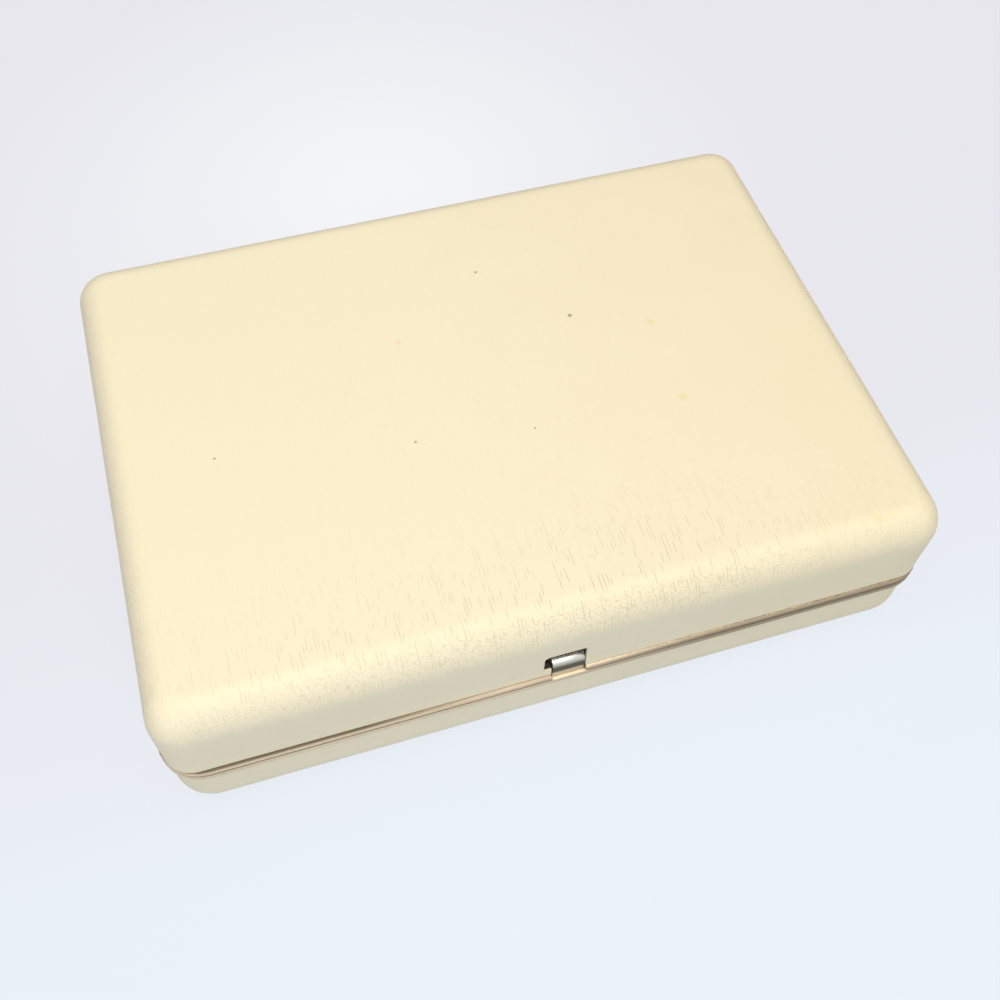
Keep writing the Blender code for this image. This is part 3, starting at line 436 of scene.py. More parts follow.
    def crackle(self, tree: Tree, where: Node) -> Node:
        """Draw the net of fine cracks that bending opens in the coating.

        Args:
            tree: The material's tree.
            where: Position on the sheet.

        Returns:
            The cracks, from 0 to 1.
        """
        cells = add_node(
            tree, "TexVoronoi", {"Vector": where, "Scale": 1 / (self.crack_pitch * MM)},
            feature="DISTANCE_TO_EDGE")
        line = add_node(tree, "MapRange", (cells, *self.crack_line))
        # Each crack gapes only along part of its length
        gape = add_node(tree, "TexNoise", (where, 900.0, 2.0))
        kept = add_node(tree, "MapRange", (gape, *self.crack_gape))
        return add_node(tree, "Math", (line, kept), operation="MULTIPLY")

    def add_marks(self, tree: Tree, where: Socket, colour: Node) -> Node:
        """Lay the lid's specks and faint stains over a colour.

        Args:
            tree: The material's tree.
            where: Object position.
            colour: Colour under the marks.

        Returns:
            The marked colour.
        """
        groups = ((self.specks, self.speck, 0.75, 0.35), (self.stains, self.stain, 0.5, 0.1))
        for marks, ink, strength, core in groups:
            for x, y, radius in marks:
                spot = (x * MM, y * MM + SIZES.middle_y, SIZES.top_z)
                gap = add_node(tree, "VectorMath", (where, spot), operation="DISTANCE")
                cover = add_node(
                    tree, "MapRange", (gap, radius * core * MM, radius * MM, strength, 0.0))
                colour = add_node(tree, "Mix", (cover, colour, linear(ink)), data_type="RGBA")
        return colour


@dataclass(frozen=True)
class Metal:
    """Sheet metal: rolled or plated, with fine wear along it and a little tarnish."""

    name: str
    face: str
    tarnish: str
    roughness: float
    wear: float = 0.3

    def build(self) -> Material:
        """Build the material.

        Returns:
            The material.
        """
        material, tree, shader, where = new_material(self.name)
        # Tarnish in patches of about 2 mm
        patches = add_node(tree, "TexNoise", (where, 520.0, 3.0))
        worn = add_node(tree, "MapRange", (patches, 0.45, 0.8, 0.0, self.wear))
        rough = add_node(
            tree, "MapRange", (worn, 0.0, 1.0, self.roughness, self.roughness * 1.9))
        metallic = 1.0
        dirt_and_painted_shade = self.dirt_and_painted_shade(tree, where)
        if dirt_and_painted_shade:
            # Dirt and painted shade are no metal: they hide the bright face, are matt and join the
            # tarnish
            metallic = add_node(tree, "MapRange", (dirt_and_painted_shade, 0.0, 1.0, 1.0, 0.1))
            rough = add_node(tree, "Mix", (dirt_and_painted_shade, rough, 0.75), data_type="FLOAT")
            worn = add_node(tree, "Math", (dirt_and_painted_shade, worn), operation="MAXIMUM")
        ground = self.ground(tree, where)
        colour = add_node(tree, "Mix", (worn, ground, linear(self.tarnish)), data_type="RGBA")
        # Handling scratches, drawn at about 0.7 mm so that they show
        scratches = add_node(tree, "TexNoise", (where, 1400.0, 1.0))
        bump = add_node(
            tree, "Bump", {"Height": scratches, "Strength": 0.15, "Distance": 0.00005})
        feed(tree, shader, {
            "Metallic": metallic, "Base Color": colour, "Roughness": rough, "Normal": bump})
        return material

    def dirt_and_painted_shade(self, tree: Tree, where: Socket) -> Node | None:
        """Return nothing: plain metal has no dirt or painted shade."""
        return None

    def ground(self, tree: Tree, where: Socket) -> Colour | Node:
        """Return the colour of the clean metal."""
        return linear(self.face)


@dataclass(frozen=True)
class RailGilt(Metal):
    """Gilt brass of the rails, with old dirt and painted shade in the parting and under the lid's
    covering.
    """

    plan_corner: float = 0.0134
    parting_dirt_and_shade_reach: tuple = (0.045, 0.085, 0.0005, 0.0006)
    parting_dirt_and_shade_fade: tuple = (0.7, 1.3, 0.9, 0.0)
    under_cover_dirt_and_shadow_level: tuple = (0.0021, 0.0025, 0.0, 1.0)
    under_cover_dirt_and_shadow_left: tuple = (-0.02, -0.07, 0.15, 0.9)
    crumbs: tuple = (0.4, 0.6, 0.2, 0.75)
    right_side: tuple = (-0.03, 0.05)
    catch_rub: tuple = (0.0055, 0.0065)
    rolled_edge: float = 0.0015
    edge_shade_line: tuple = (0.00015, 0.00035, 0.9, 0.6)

    def dirt_and_painted_shade(self, tree: Tree, where: Socket) -> Node | None:
        """Draw dirt and painted shade along the parting and along the upper edge.

        Args:
            tree: The material's tree.
            where: Object position.

        Returns:
            The dirt and painted shade, from 0 to 1.
        """
        x, _, z = add_node(tree, "SeparateXYZ", (where,)).outputs
        level = add_node(tree, "Math", (z, SIZES.parting_z), operation="SUBTRACT")
        beads = self.on_beads(tree, where)
        # Dirt and painted shade of the parting's gap reach 0.5 mm from it, and 0.6 mm towards the
        # right
        reach = add_node(tree, "MapRange", (x, *self.parting_dirt_and_shade_reach))
        away = add_node(tree, "Math", (level,), operation="ABSOLUTE")
        share = add_node(tree, "Math", (away, reach), operation="DIVIDE")
        parting = add_node(tree, "MapRange", (share, *self.parting_dirt_and_shade_fade))
        # Under the covering's edge they are a painted shadow as well as dirt, thickest at the left
        top = add_node(tree, "MapRange", (level, *self.under_cover_dirt_and_shadow_level))
        left = add_node(tree, "MapRange", (x, *self.under_cover_dirt_and_shadow_left))
        # At the right it lies there in crumbs of about half a millimetre
        crumbs = add_node(tree, "TexNoise", (where, 2000.0))
        crumbs = add_node(tree, "MapRange", (crumbs, *self.crumbs))
        right = add_node(tree, "MapRange", (x, *self.right_side))
        crumbs = add_node(tree, "Math", (crumbs, right), operation="MULTIPLY")
        left = add_node(tree, "Math", (left, crumbs), operation="MAXIMUM")
        under = add_node(tree, "Math", (top, left), operation="MULTIPLY")
        # The catch rubs the rail clean where it stands over it
        aside = add_node(tree, "Math", (x,), operation="ABSOLUTE")
        rubbed = add_node(tree, "MapRange", (aside, *self.catch_rub))
        for mask in (rubbed, beads):
            parting = add_node(tree, "Math", (parting, mask), operation="MULTIPLY")
        # The parting's and the covering's dirt and painted shade together
        dirt = add_node(tree, "Math", (parting, under), operation="MAXIMUM")
        # Towards the right the beads are painted darker, a painted shade over their highlight,
        # with a painted dark line along the rolled edge where the gap between the rails opens
        off = add_node(tree, "Math", (level, self.rolled_edge), operation="SUBTRACT")
        off = add_node(tree, "Math", (off,), operation="ABSOLUTE")
        right_painted_shade = add_node(tree, "MapRange", (off, *self.edge_shade_line))
        for mask in (right, beads):
            right_painted_shade = add_node(tree, "Math", (right_painted_shade, mask), operation="MULTIPLY")
        return add_node(tree, "Math", (dirt, right_painted_shade), operation="MAXIMUM")

    def on_beads(self, tree: Tree, where: Socket) -> Node:
        """Tell the rails' outer beads from the bright faces that meet when the lid is shut.

        Args:
            tree: The material's tree.
            where: Object position.

        Returns:
            1 on the beads, which stand outside the leatherette, and 0 further in.
        """
        corner = self.plan_corner
        straight = (SIZES.width / 2 - corner, SIZES.depth / 2 - corner, 1.0)
        reach = where
        steps = (
            ("SUBTRACT", (0.0, SIZES.middle_y, 0.0)), ("ABSOLUTE",), ("SUBTRACT", straight),
            ("MAXIMUM", (0.0, 0.0, 0.0)), ("LENGTH",))
        for operation, *values in steps:
            reach = add_node(tree, "VectorMath", (reach, *values), operation=operation)
        return add_node(tree, "MapRange", (reach, corner + 0.0002, corner + 0.0004))


@dataclass(frozen=True)
class CatchGilt(Metal):
    """Gilt brass of the catch, with dirt and a painted dark reflection in the hollow below its
    rolled edge and on the roll's lower half.
    """

    dirt_and_shade_low: float = 0.003
    dirt_and_shade_high: float = 0.0064
    dirt_and_shade_end: float = 0.0092
    mottle_low: float = 0.0078
    mottle_front: float = -0.0965
    mottle_patches: tuple = (0.4, 0.6, 0.45, 0.95)
    bare: str = "efebdc"
    bare_low: float = 0.0035
    bare_high: float = 0.006

    def ground(self, tree: Tree, where: Socket) -> Colour | Node:
        """Colour the roll, where thumbs have worn the gilt down to the nickel under it.

        Args:
            tree: The material's tree.
            where: Object position.

        Returns:
            The colour of the clean metal.
        """
        place = add_node(tree, "SeparateXYZ", (where,))
        rolled = add_node(tree, "MapRange", (
            place.outputs["Z"], SIZES.parting_z + self.bare_low, SIZES.parting_z + self.bare_high))
        return add_node(
            tree, "Mix", (rolled, linear(self.face), linear(self.bare)), data_type="RGBA")

    def dirt_and_painted_shade(self, tree: Tree, where: Socket) -> Node | None:
        """Draw dirt and a painted dark reflection in the hollow and on the lower roll, and dark
        patches on its top.

        Args:
            tree: The material's tree.
            where: Object position.

        Returns:
            The dirt, painted dark reflection and patches, from 0 to 1.
        """
        _, y, z = add_node(tree, "SeparateXYZ", (where,)).outputs
        level = add_node(tree, "Math", (z, SIZES.parting_z), operation="SUBTRACT")
        # The hollow and the lower half of the roll are darkened: dirt, and a painted dark
        # reflection of the room
        lower = add_node(
            tree, "MapRange", (level, self.dirt_and_shade_low, self.dirt_and_shade_low + 0.0005, 0.3, 0.95))
        upper = add_node(tree, "MapRange", (level, self.dirt_and_shade_high, self.dirt_and_shade_end, 1.0, 0.0))
        dirt = add_node(tree, "Math", (lower, upper), operation="MULTIPLY")
        # The top of the roll is darker and matt in patches of about half a millimetre
        patches = add_node(tree, "TexNoise", (where, 1800.0, 2.0))
        rubbed = add_node(tree, "MapRange", (patches, *self.mottle_patches))
        # Only the part above and behind the highlight is patched
        for value, start in ((level, self.mottle_low), (y, self.mottle_front)):
            mask = add_node(tree, "MapRange", (value, start, start + 0.0003))
            rubbed = add_node(tree, "Math", (rubbed, mask), operation="MULTIPLY")
        return add_node(tree, "Math", (dirt, rubbed), operation="MAXIMUM")


@dataclass(frozen=True)
class Pile:
    """Woven lining: velvet with an upright pile, or satin with a long weave."""

    name: str
    face: str
    shade: str
    roughness: float
    sheen: float
    thread: float
    depth: float

    def build(self) -> Material:
        """Build the material.

        Returns:
            The material.
        """
        material, tree, shader, where = new_material(self.name)
        # Threads and pile, drawn at about 0.6 mm so that they show
        threads = add_node(tree, "TexNoise", (where, self.thread, 3.0))
        # Brushed patches of about 12 mm catch the light one way or the other
        brushed = add_node(tree, "TexNoise", (where, 80.0, 2.0))
        both = add_node(tree, "Math", (brushed, 0.6, threads), operation="MULTIPLY_ADD")
        tone = add_node(tree, "MapRange", (both, 0.5, 1.1))
        colour = add_node(
            tree, "Mix", (tone, linear(self.shade), linear(self.face)), data_type="RGBA")
        bump = add_node(
            tree, "Bump", {"Height": threads, "Strength": 0.5, "Distance": self.depth})
        feed(tree, shader, {
            "Base Color": colour, "Normal": bump, "Roughness": self.roughness,
            "Sheen Weight": self.sheen, "Sheen Roughness": 0.45})
        return material


@dataclass(frozen=True)
class Greyboard:
    """Pressed grey board, with flecks of waste paper in it."""

    name: str = "grey_board"
    fleck: str = "b2aa99"
    pulp: str = "857d6e"

    def build(self) -> Material:
        """Build the material.

        Returns:
            The material.
        """
        material, tree, shader, where = new_material(self.name)
        # Flecks of about 1.4 mm
        flecks = add_node(tree, "TexNoise", (where, 700.0, 5.0))
        colour = add_node(
            tree, "Mix", (flecks, linear(self.pulp), linear(self.fleck)), data_type="RGBA")
        feed(tree, shader, {"Base Color": colour, "Roughness": 0.9})
        return material


Finish = Metal | Pile | Greyboard


# Pieces

@dataclass
class Covering:
    """Leatherette of one half: a wrapped dish with a turned rim."""

    half: Half
    corner: float
    edge_in: float
    edge_height: float
    height: float
    thickness: float = 0.0008
    rim: float = 0.00295
    hem: float = 0.0012
    hem_proud: float = 0.00008
    turned_edge: float = 0.0003
    flat_border: float = 0.002
    wander: float = 0.00008
    hem_wander: float = 0.0001
    slack: float = 0.0002
    side_cuts: int = 90
    corner_steps: int = 14
    edge_steps: int = 14
    wall_steps: int = 5
    notch_left: float = 0.0066
    notch_right: float = 0.0057
    notch_lean: float = 0.0007
    notch_height: float = 0.0162
    notch_step: float = 0.0028
    notch_step_bottom: float = 0.0062
    notch_round: float = 0.0021
    notch_round_right: float = 0.0004
    notch_round_step: float = 0.0003
    cutter_drop: float = 0.001
    cutter_reach: float = 0.003

    @property
    def node(self) -> str:
        """CAD node that the piece stands for."""
        return "lid_covering" if self.half is Half.LID else "base_covering"

    def outline_face(self, bm: Mesh) -> bmesh.types.BMFace:
        """Make the plan outline, with its corners rounded and its sides divided.

        Args:
            bm: The mesh.

        Returns:
            The one face, at the rim, facing away from the parting.
        """
        half_x = SIZES.width / 2
        half_y = SIZES.depth / 2
        signs = [(-1, -1), (1, -1), (1, 1), (-1, 1)]
        if self.half is Half.BASE:
            signs.reverse()
        verts = [bm.verts.new((sx * half_x, SIZES.middle_y + sy * half_y, 0)) for sx, sy in signs]
        bm.faces.new(verts)
        round_corners(bm, verts, self.corner, self.corner_steps)
        sides = [edge for edge in bm.edges if edge.calc_length() > self.corner]
        bmesh.ops.subdivide_edges(bm, edges=sides, cuts=self.side_cuts)
        return bm.faces[:][0]

    def place(self, home: Vector, inset: float, level: float) -> Vector:
        """Find where a point of the outline lies after an inset.

        The corners are drawn in less than the sides, as a pressed shell's are.

        Args:
            home: The point on the outline.
            inset: How far the sides go in.
            level: Height from the parting.

        Returns:
            The point's new place.
        """
        x, y = abs(home.x), abs(home.y - SIZES.middle_y)
        old_x, old_y = SIZES.width / 2 - self.corner, SIZES.depth / 2 - self.corner
        radius = self.corner - inset * SIZES.corner_follow
        new_x, new_y = SIZES.width / 2 - inset - radius, SIZES.depth / 2 - inset - radius
        out_x, out_y = max(x - old_x, 0.0) / self.corner, max(y - old_y, 0.0) / self.corner
        x = new_x * min(x / old_x, 1.0) + radius * out_x
        y = new_y * min(y / old_y, 1.0) + radius * out_y
        return Vector((
            math.copysign(x, home.x), SIZES.middle_y + math.copysign(y, home.y - SIZES.middle_y),
            SIZES.parting_z + self.half.value * level))

    def profile(self) -> list[tuple[float, float]]:
        """List the section's points from the rim, up the wall and round to the flat face.

        Returns:
            Their insets and levels.
        """
        foot = self.rim + self.hem
        wall_top = self.height - self.edge_height
        rows = [(-self.hem_proud, self.rim + self.hem * 0.5)]
        for step in range(self.wall_steps + 1):
            rows.append((0.0, foot + (wall_top - foot) * step / self.wall_steps))
        for step in range(1, self.edge_steps + 1):
            angle = math.pi / 2 * step / self.edge_steps
            rows.append((
                self.edge_in * (1 - math.cos(angle)),
                wall_top + self.edge_height * math.sin(angle)))
        rows.append((self.edge_in + self.flat_border, self.height))
        return rows

    def build(self, material: Material) -> Piece:
        """Build and dress the covering.

        Args:
            material: Its finish.

        Returns:
            The piece.
        """
        bm = bmesh.new()
        top = self.outline_face(bm)
        home = bm.verts.layers.float_vector.new("home")
        for vert in bm.verts:
            vert[home] = vert.co
            vert.co = self.place(vert[home], -self.hem_proud, self.rim)
        for inset, level in self.profile():
            grown = bmesh.ops.extrude_face_region(bm, geom=[top])
            if top.is_valid:
                bmesh.ops.delete(bm, geom=[top], context="FACES_ONLY")
            top = [item for item in grown["geom"] if isinstance(item, bmesh.types.BMFace)][0]
            for vert in top.verts:
                vert.co = self.place(vert[home], inset, level)
        bmesh.ops.poke(bm, faces=[top])
        bm.verts.layers.float_vector.remove(home)
        piece = finished(f"{self.node}_leatherette", bm)
        self.ripple(piece)
        modify(piece, "thickness", "SOLIDIFY", thickness=self.thickness, offset=-1.0)
        if self.half is Half.LID:
            self.cut_notch(piece)
        modify(
            piece, "turned edges", "BEVEL", width=self.turned_edge, segments=3,
            limit_method="ANGLE", angle_limit=math.radians(50), harden_normals=True)
        dress(piece, material)
        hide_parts(self.node)
        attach(piece, "lid" if self.half is Half.LID else "base")
        return piece

    def ripple(self, piece: Piece) -> None:
        """Let the walls wander by some hundredths of a millimetre, as a glued sheet lies.

        Args:
            piece: The covering.
        """
        middle = Vector((0, SIZES.middle_y, 0))
        for vertex in piece.data.vertices:
            level = abs(vertex.co.z - SIZES.parting_z)
            if level > self.height - self.slack:
                continue
            out = vertex.co - middle
            out.z = 0
            vertex.co += out.normalized() * noise.noise(vertex.co * 60.0) * self.wander
            if level < self.rim + self.slack:
                vertex.co.z += noise.noise(vertex.co * 900.0) * self.hem_wander

    def cut_notch(self, piece: Piece) -> None:
        """Cut the catch's notch, with its step at the upper left.

        Args:
            piece: The lid's covering.
        """
        low = SIZES.parting_z - self.cutter_drop
        step_left = -self.notch_left - self.notch_step
        top = SIZES.parting_z + self.notch_height
        step_low = SIZES.parting_z + self.notch_step_bottom
        points = [
            (-self.notch_left, low), (self.notch_right, low),
            (self.notch_right - self.notch_lean, top), (step_left, top),
            (step_left, step_low), (-self.notch_left, step_low)]
        bm = bmesh.new()
        verts = [bm.verts.new((x, SIZES.front_y - self.cutter_reach, z)) for x, z in points]
        bm.faces.new(verts)
        rounds = ((3, self.notch_round), (2, self.notch_round_right), (4, self.notch_round_step))
        for index, radius in rounds:
            round_corners(bm, [verts[index]], radius, 6)
        thicken(bm, bm.faces[:], (0, self.cutter_reach * 2, 0))
        cutter = finished("notch_cutter", bm, smooth=False)
        modify(piece, "notch", "BOOLEAN", operation="DIFFERENCE", solver="EXACT", object=cutter)
        freeze(piece)
        bpy.data.objects.remove(cutter, do_unlink=True)


@dataclass
class SatinPad:
    """Stuffed satin pad in the lid, gathered round its edge, with a piped border."""

    voxel: float = 0.005
    pressure: float = 4.0
    frames: int = 20
    cap: float = 0.004
    glued_depth: float = 0.0016
    start_share: float = 0.996
    start_height: float = 0.94
    start_rise: float = 0.03
    side_draw: float = 0.0018
    gather_pitch: float = 0.0078
    gather_depth: float = 0.0013
    gather_reach: float = 0.036
    gather_sway: float = 2.2
    looseness: float = 0.0006
    plain_back: float = 0.003
    sag: float = 0.001
    piping: float = 0.0046
    piping_drop: float = 0.0071
    piping_round: float = 0.46
    piping_gap: float = 0.00015
    side_gap: float = 0.0073
    front_gap: float = 0.0111
    corner: float = 0.0072

    def build(self, material: Material) -> list[Piece]:
        """Build and dress the pad and its piping.

        Args:
            material: Their finish.

        Returns:
            The pad and the piping.
        """
        low, high = (Vector(corner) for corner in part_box("lid_pad"))
        pad = self.cover(low, high)
        self.stuff(pad, high)
        modify(pad, "round", "SUBSURF", levels=2, render_levels=2)
        freeze(pad)
        self.gather(pad, low, high)
        pad.data.shade_smooth()
        dress(pad, material)
        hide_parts("lid_pad")
        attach(pad, "lid")
        piping = self.pipe(high.z - self.piping_drop)
        dress(piping, material)
        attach(piping, "lid")
        return [pad, piping]

    def cover(self, low: Vector, high: Vector) -> Piece:
        """Cut the cover: the pad's plain solid with straight sides, meshed evenly.

        Args:
            low: Low corner of the solid.
            high: High corner of the solid.

        Returns:
            The cover.
        """
        bm = joined_solid("lid_pad")
        middle = (low + high) / 2
        bmesh.ops.translate(bm, verts=bm.verts, vec=-middle)
        half = (high - low) / 2
        for vert in bm.verts:
            across, along = vert.co.x / half.x, vert.co.y / half.y
            vert.co.x /= 1 - self.side_draw * (1 - along ** 2) / half.x
            vert.co.y /= 1 - self.side_draw * (1 - across ** 2) / half.y
        share = (self.start_share, self.start_share, self.start_height)
        bmesh.ops.scale(bm, verts=bm.verts, vec=share)
        rise = Vector((0, 0, (high - low).z * self.start_rise))
        bmesh.ops.translate(bm, verts=bm.verts, vec=middle + rise)
        pad = finished("lid_pad_satin", bm)
        modify(pad, "remesh", "REMESH", mode="VOXEL", voxel_size=self.voxel)
        freeze(pad)
        return pad

    def stuff(self, pad: Piece, high: Vector) -> None:
        """Blow the cover up against its glued back, as wadding fills it.

        Args:
            pad: The cover.
            high: High corner of the pad's solid, where its back is glued.
        """
        start = [vertex.co.copy() for vertex in pad.data.vertices]
        back = [i for i, co in enumerate(start) if co.z > high.z - self.glued_depth]
        pad.vertex_groups.new(name="glued").add(back, 1.0, "REPLACE")
        cloth = modify(pad, "wadding", "CLOTH")
        cloth.settings.use_pressure = True
        cloth.settings.uniform_pressure_force = self.pressure
        cloth.settings.effector_weights.gravity = 0.0
        cloth.settings.vertex_group_mass = "glued"
        cloth.point_cache.frame_end = self.frames
        scene = bpy.context.scene
        for step in range(1, self.frames + 1):
            scene.frame_set(step)
        freeze(pad)
        scene.frame_set(1)
        for vertex, rest in zip(pad.data.vertices, start):
            move = vertex.co - rest
            if move.length > self.cap:
                vertex.co = rest + move.normalized() * self.cap

    def gather(self, pad: Piece, low: Vector, high: Vector) -> None:
        """Pucker the cover where it is drawn round the pad's edge.

        Args:
            pad: The stuffed cover.
            low: Low corner of the pad's solid.
            high: High corner of the pad's solid.
        """
        for vertex in pad.data.vertices:
            co = vertex.co
            to_side = min(co.x - low.x, high.x - co.x)
            to_end = min(co.y - low.y, high.y - co.y)
            along, off = (co.y, to_side) if to_side < to_end else (co.x, to_end)
            fade = max(0.0, 1 - off / self.gather_reach) ** 2
            # The puckers are uneven in place over about 11 mm and in depth over 18 mm
            sway = noise.noise(Vector((along * 90.0, off * 40.0, 3.0))) * self.gather_sway
            wave = math.sin(along / self.gather_pitch * 2 * math.pi + sway)
            wave *= 0.55 + 0.45 * noise.noise(Vector((along * 55.0, 7.0, 0.0)))
            loose = noise.noise(Vector((co.x * 20.0, co.y * 20.0, 1.0))) * self.looseness
            if co.z < high.z - self.plain_back:
                co.z += wave * self.gather_depth * fade + loose
            co.x = min(max(co.x, low.x), high.x)
            co.y = min(max(co.y, low.y), high.y)
            co.z = min(max(co.z, low.z - self.sag), high.z)

    def pipe(self, level: float) -> Piece:
        """Make the satin piping round the pad.

        Args:
            level: Height of its underside.

        Returns:
            The piping.
        """
        half_x = SIZES.width / 2 - self.side_gap - self.piping_gap
        front = SIZES.front_y + self.front_gap + self.piping_gap
        back = SIZES.back_y - self.side_gap - self.piping_gap
        bm = bmesh.new()
        corners = ((-half_x, front), (half_x, front), (half_x, back), (-half_x, back))
        verts = [bm.verts.new((x, y, level)) for x, y in corners]
        bm.faces.new(verts)
        round_corners(bm, verts, self.corner, 8)
        face = bm.faces[:][0]
        bmesh.ops.inset_individual(bm, faces=[face], thickness=self.piping, use_even_offset=True)
        bmesh.ops.delete(bm, geom=[face], context="FACES_ONLY")
        thicken(bm, bm.faces[:], (0, 0, self.piping))
        piping = finished("lid_pad_piping", bm)
        modify(
            piping, "round", "BEVEL", width=self.piping * self.piping_round, segments=4,
            limit_method="ANGLE", angle_limit=math.radians(60))
        freeze(piping)
        return piping


@dataclass
class RingRolls:
    """Row of ring rolls, each a wadded velvet roll with softly rounded ends."""

    count: int = 7
    voxel: float = 0.0012
    smoothing: int = 4

    def build(self, material: Material) -> list[Piece]:
        """Build and dress the rolls.

        Args:
            material: Their finish.

        Returns:
            The rolls.
        """
        rolls = []
        for index in range(1, self.count + 1):
            node = f"ring_roll_{index}"
            roll = finished(f"{node}_velvet", joined_solid(node))
            modify(
                roll, "remesh", "REMESH", mode="VOXEL", voxel_size=self.voxel,
                use_smooth_shade=True)
            modify(roll, "smooth", "SMOOTH", iterations=self.smoothing)
            freeze(roll)
            roll.data.shade_smooth()
            dress(roll, material)
            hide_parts(node)
            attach(roll, "base")
            rolls.append(roll)
        return rolls


@dataclass
class CarriedSolids:
    """CAD solids that show as they are, with softened edges and their finish."""

    finish: Finish
    slot: str
    nodes: tuple
    edge: float
    segments: int = 2

    def build(self) -> list[Piece]:
        """Dress the solids.

        Returns:
            The solids.
        """
        material = self.finish.build()
        dressed = []
        for name in sorted(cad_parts):
            if not name.startswith(self.nodes):
                continue
            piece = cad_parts[name]
            paint(piece, material)
            if self.edge:
                soften(piece, self.edge, self.segments)
            dressed.append(piece)
        return dressed


# Studio

@dataclass(frozen=True)
class Lamp:
    """Area lamp that faces the case: its power is in watts, its colour in linear light."""

    name: str
    place: tuple
    width: float
    depth: float
    power: float
    colour: tuple

    def hang(self) -> None:
        """Make the lamp and turn it to the case."""
        lamp = bpy.data.lights.new(self.name, "AREA")
        lamp.shape = "RECTANGLE"
        lamp.size = self.width
        lamp.size_y = self.depth
        lamp.energy = self.power
        lamp.color = self.colour
        holder = bpy.data.objects.new(self.name, lamp)
        holder.location = self.place
        aim = Vector((0, 0, SIZES.top_z)) - Vector(self.place)
        holder.rotation_euler = aim.to_track_quat("-Z", "Y").to_euler()
        bpy.context.scene.collection.objects.link(holder)


@dataclass
class Studio:
    """Pale floor, soft overhead light and the camera of the photograph."""

    floor_size: float = 5.0
    floor_front_light: str = "f3fbff"
    floor_sides_shade: str = "f1eff3"
    floor_back_light: str = "ffffff"
    floor_body: str = "b0bcd4"
    floor_glow: float = 0.83
    front_end: float = -0.16
    painted_light_spot: tuple = (0.0, 0.17, 0.0)
    painted_light_reach: float = 0.2
    painted_light_core: float = 0.02
    sky: str = "f0f2f6"
    sky_light: str = "f2f6ff"
    horizon: float = 0.08
    zenith: float = 0.41
    overhead: Lamp = Lamp("overhead", (-0.2, -0.82, 1.85), 1.8, 2.3, 45.5, (1.0, 0.97, 0.93))
    window: Lamp = Lamp("window", (-0.3, -1.8, 0.95), 1.7, 0.75, 1.8, (0.3, 0.84, 0.95))
    lens: float = 41.516
    camera_place: tuple = (-0.077578, -0.240236, 0.385007)
    camera_right: tuple = (0.9549725, -0.2956470, 0.0249079)
    camera_up: tuple = (0.2366371, 0.8096177, 0.5371425)
    camera_back: tuple = (-0.1789704, -0.5070622, 0.8431237)

    def build(self) -> None:
        """Build the floor, the light and the camera."""
        self.build_floor()
        self.build_light()
        self.build_camera()

    def build_floor(self) -> None:
        """Build the floor, which shows its own pale colour to the camera and to metal, with light
        and shade painted into it.
        """
        bm = bmesh.new()
        bmesh.ops.create_grid(bm, x_segments=1, y_segments=1, size=self.floor_size / 2)
        floor = finished("floor", bm, smooth=False)
        material, tree, shader, where = new_material("pale_floor")
        place = add_node(tree, "SeparateXYZ", (where,))
        along = add_node(tree, "MapRange", (place.outputs["Y"], self.front_end, 0.0))
        # Painted light: the floor is lighter in front and brightest behind the case, and painted
        # shade leaves it darker at its sides
        gap = add_node(tree, "VectorMath", (where, self.painted_light_spot), operation="DISTANCE")
        near = add_node(tree, "MapRange", (gap, self.painted_light_reach, self.painted_light_core))
        behind = add_node(
            tree, "Mix", (near, linear(self.floor_sides_shade), linear(self.floor_back_light)),
            data_type="RGBA")
        colour = add_node(
            tree, "Mix", (along, linear(self.floor_front_light), behind), data_type="RGBA")
        feed(tree, shader, {
            "Base Color": linear(self.floor_body), "Roughness": 0.85, "Specular IOR Level": 0.2})
        glow = add_node(tree, "Emission", (colour,))
        share = add_node(
            tree, "Math", (self.seen_rays(tree), self.floor_glow), operation="MULTIPLY")
        mix = add_node(tree, "MixShader", (share, shader, glow))
        feed(tree, tree.nodes["Material Output"], {"Surface": mix})
        floor.data.materials.append(material)

    def seen_rays(self, tree: Tree) -> Node:
        """Tell the rays that show a background from those that light the case.

        Args:
            tree: Tree of the floor or of the world.

        Returns:
            1 for camera, glossy and transmission rays, and 0 for the rest.
        """
        rays = add_node(tree, "LightPath").outputs
        seen = add_node(
            tree, "Math", (rays["Is Camera Ray"], rays["Is Glossy Ray"]), operation="ADD")
        return add_node(
            tree, "Math", (seen, rays["Is Transmission Ray"]), operation="ADD", use_clamp=True)

    def build_light(self) -> None:
        """Build the overhead lamp, the dim front window and the world's even light."""
        self.overhead.hang()
        self.window.hang()
        world = bpy.data.worlds.new("even_light")
        world.use_nodes = True
        tree = world.node_tree
        lit = tree.nodes["Background"]
        # The room is darker near the horizon than overhead
        where = add_node(tree, "TexCoord").outputs["Generated"]
        place = add_node(tree, "SeparateXYZ", (where,))
        level = add_node(
            tree, "MapRange", (place.outputs["Z"], 0.0, 1.0, self.horizon, self.zenith))
        feed(tree, lit, {"Strength": level, "Color": linear(self.sky_light)})
        shown = add_node(tree, "Background", (linear(self.sky), 1.0))
        mix = add_node(tree, "MixShader", (self.seen_rays(tree), lit, shown))
        feed(tree, tree.nodes["World Output"], {"Surface": mix})
        bpy.context.scene.world = world

    def build_camera(self) -> None:
        """Place the camera as the photograph was taken."""
        data = bpy.data.cameras.new("camera")
        data.sensor_width = 36.0
        data.lens = self.lens
        data.clip_start = 0.01
        camera = bpy.data.objects.new("camera", data)
        axes = Matrix((self.camera_right, self.camera_up, self.camera_back)).transposed()
        camera.matrix_world = Matrix.Translation(self.camera_place) @ axes.to_4x4()
        bpy.context.scene.collection.objects.link(camera)
        bpy.context.scene.camera = camera


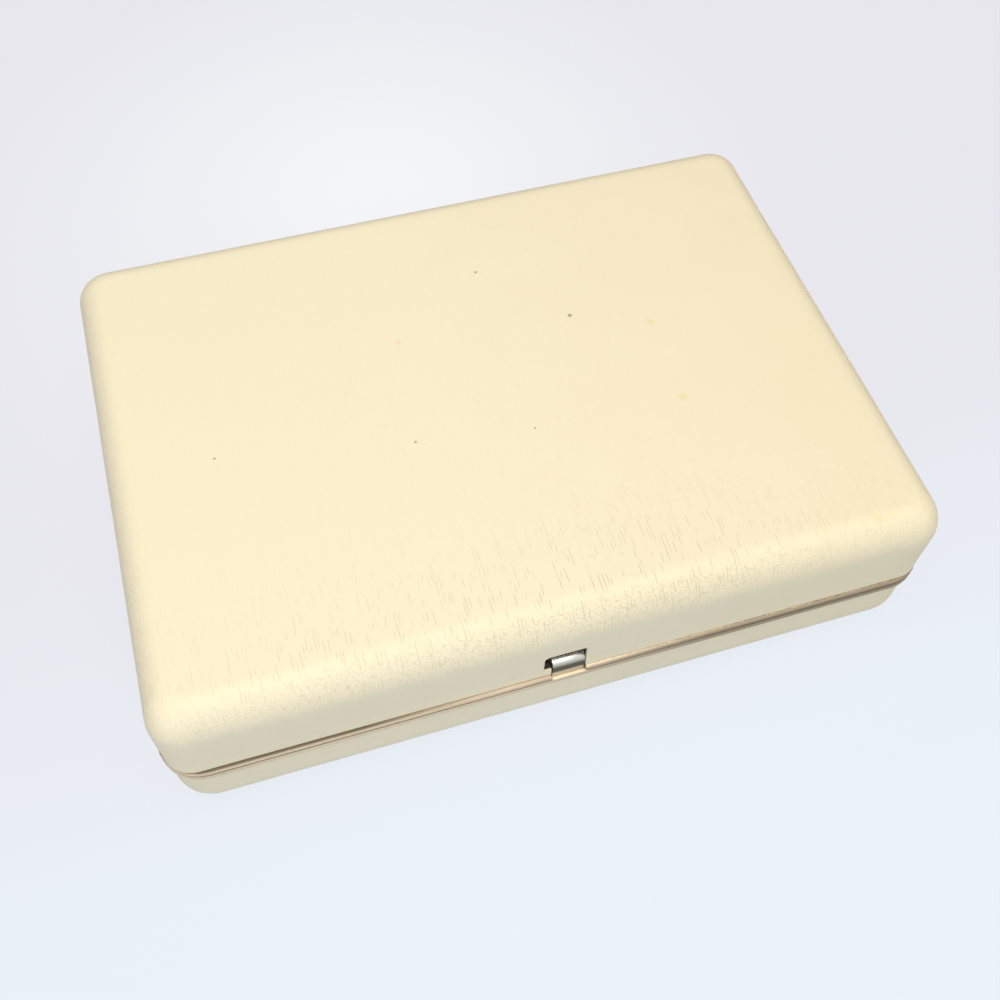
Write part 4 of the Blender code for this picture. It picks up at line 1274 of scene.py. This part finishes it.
def finishes() -> dict[str, Finish]:
    """Return the finishes of the carried solids and the soft pieces, by name."""
    return {
        # Rolled gilt brass: a warm satin glow on the rails, smoother on the catch; on both, the
        # tarnish colour also paints the shade in gaps and hollows
        "rail": RailGilt("gilt_brass_rail", "e0ccaf", "524329", roughness=0.46, wear=0.2),
        "catch": CatchGilt("gilt_brass_catch", "ded3b6", "463b26", roughness=0.2, wear=0.25),
        # Plated steel: neutral and bright
        "steel": Metal("plated_steel", "b3afa6", "857f72", roughness=0.34),
        # Blued sheet steel: dark, with a half-matt shine
        "shell": Metal("blued_sheet_steel", "6c7076", "54504a", roughness=0.45),
        # Rayon velvet: matt from above, bright where the pile leans
        "velvet": Pile(
            "rayon_velvet", "94525b", "7f444d", roughness=0.92, sheen=0.6, thread=1500.0,
            depth=0.00018),
        # Acetate satin: smooth, with a soft gloss
        "satin": Pile(
            "acetate_satin", "cf9b98", "bd8583", roughness=0.3, sheen=0.2, thread=1900.0,
            depth=0.00002),
        # Grey board: quite matt
        "board": Greyboard(),
    }


def build_pieces() -> None:
    """Build the case's pieces and report each."""
    lid = Covering(
        Half.LID, corner=0.0108, edge_in=0.0105, edge_height=0.014, height=SIZES.lid_height)
    base = Covering(
        Half.BASE, corner=0.0134, edge_in=0.0112, edge_height=0.0115, height=SIZES.base_height)
    leatherette = Leatherette()
    made = [lid.build(leatherette.build(marks=True)), base.build(leatherette.build(marks=False))]
    finish = finishes()
    fittings = ("hinge_", "catch_bracket", "catch_pin", "strike_")
    linings = ("base_lining_", "divider_", "lid_lining_surround")
    boards = ("floor_board", "lid_pad_board")
    carried = (
        CarriedSolids(finish["rail"], "gilt", ("base_rim_rail", "lid_rim_rail"), edge=0.00015),
        CarriedSolids(finish["catch"], "gilt", ("catch_lever",), edge=0.00012),
        CarriedSolids(finish["steel"], "bright_steel", fittings, edge=0.0001),
        CarriedSolids(finish["steel"], "bright_steel", ("catch_spring",), edge=0.0),
        CarriedSolids(finish["shell"], "steel_shell", ("base_shell", "lid_shell"), edge=0.0),
        CarriedSolids(finish["velvet"], "velvet", linings, edge=0.0005, segments=3),
        CarriedSolids(finish["board"], "greyboard", boards, edge=0.0003),
    )
    for group in carried:
        for piece in group.build():
            log.info("%s: carried over as %s", piece.name, group.slot)
    made += SatinPad().build(finish["satin"].build())
    made += RingRolls().build(finish["velvet"].build())
    for piece in made:
        log.info("%s: %d faces", piece.name, len(piece.data.polygons))


def main() -> None:
    """Build the dressed case and its studio."""
    logging.basicConfig(level=logging.INFO, format="%(name)s: %(message)s")
    build_pieces()
    Studio().build()
    scene = bpy.context.scene
    scene.view_settings.view_transform = "Standard"


if __name__ == "__main__":
    main()
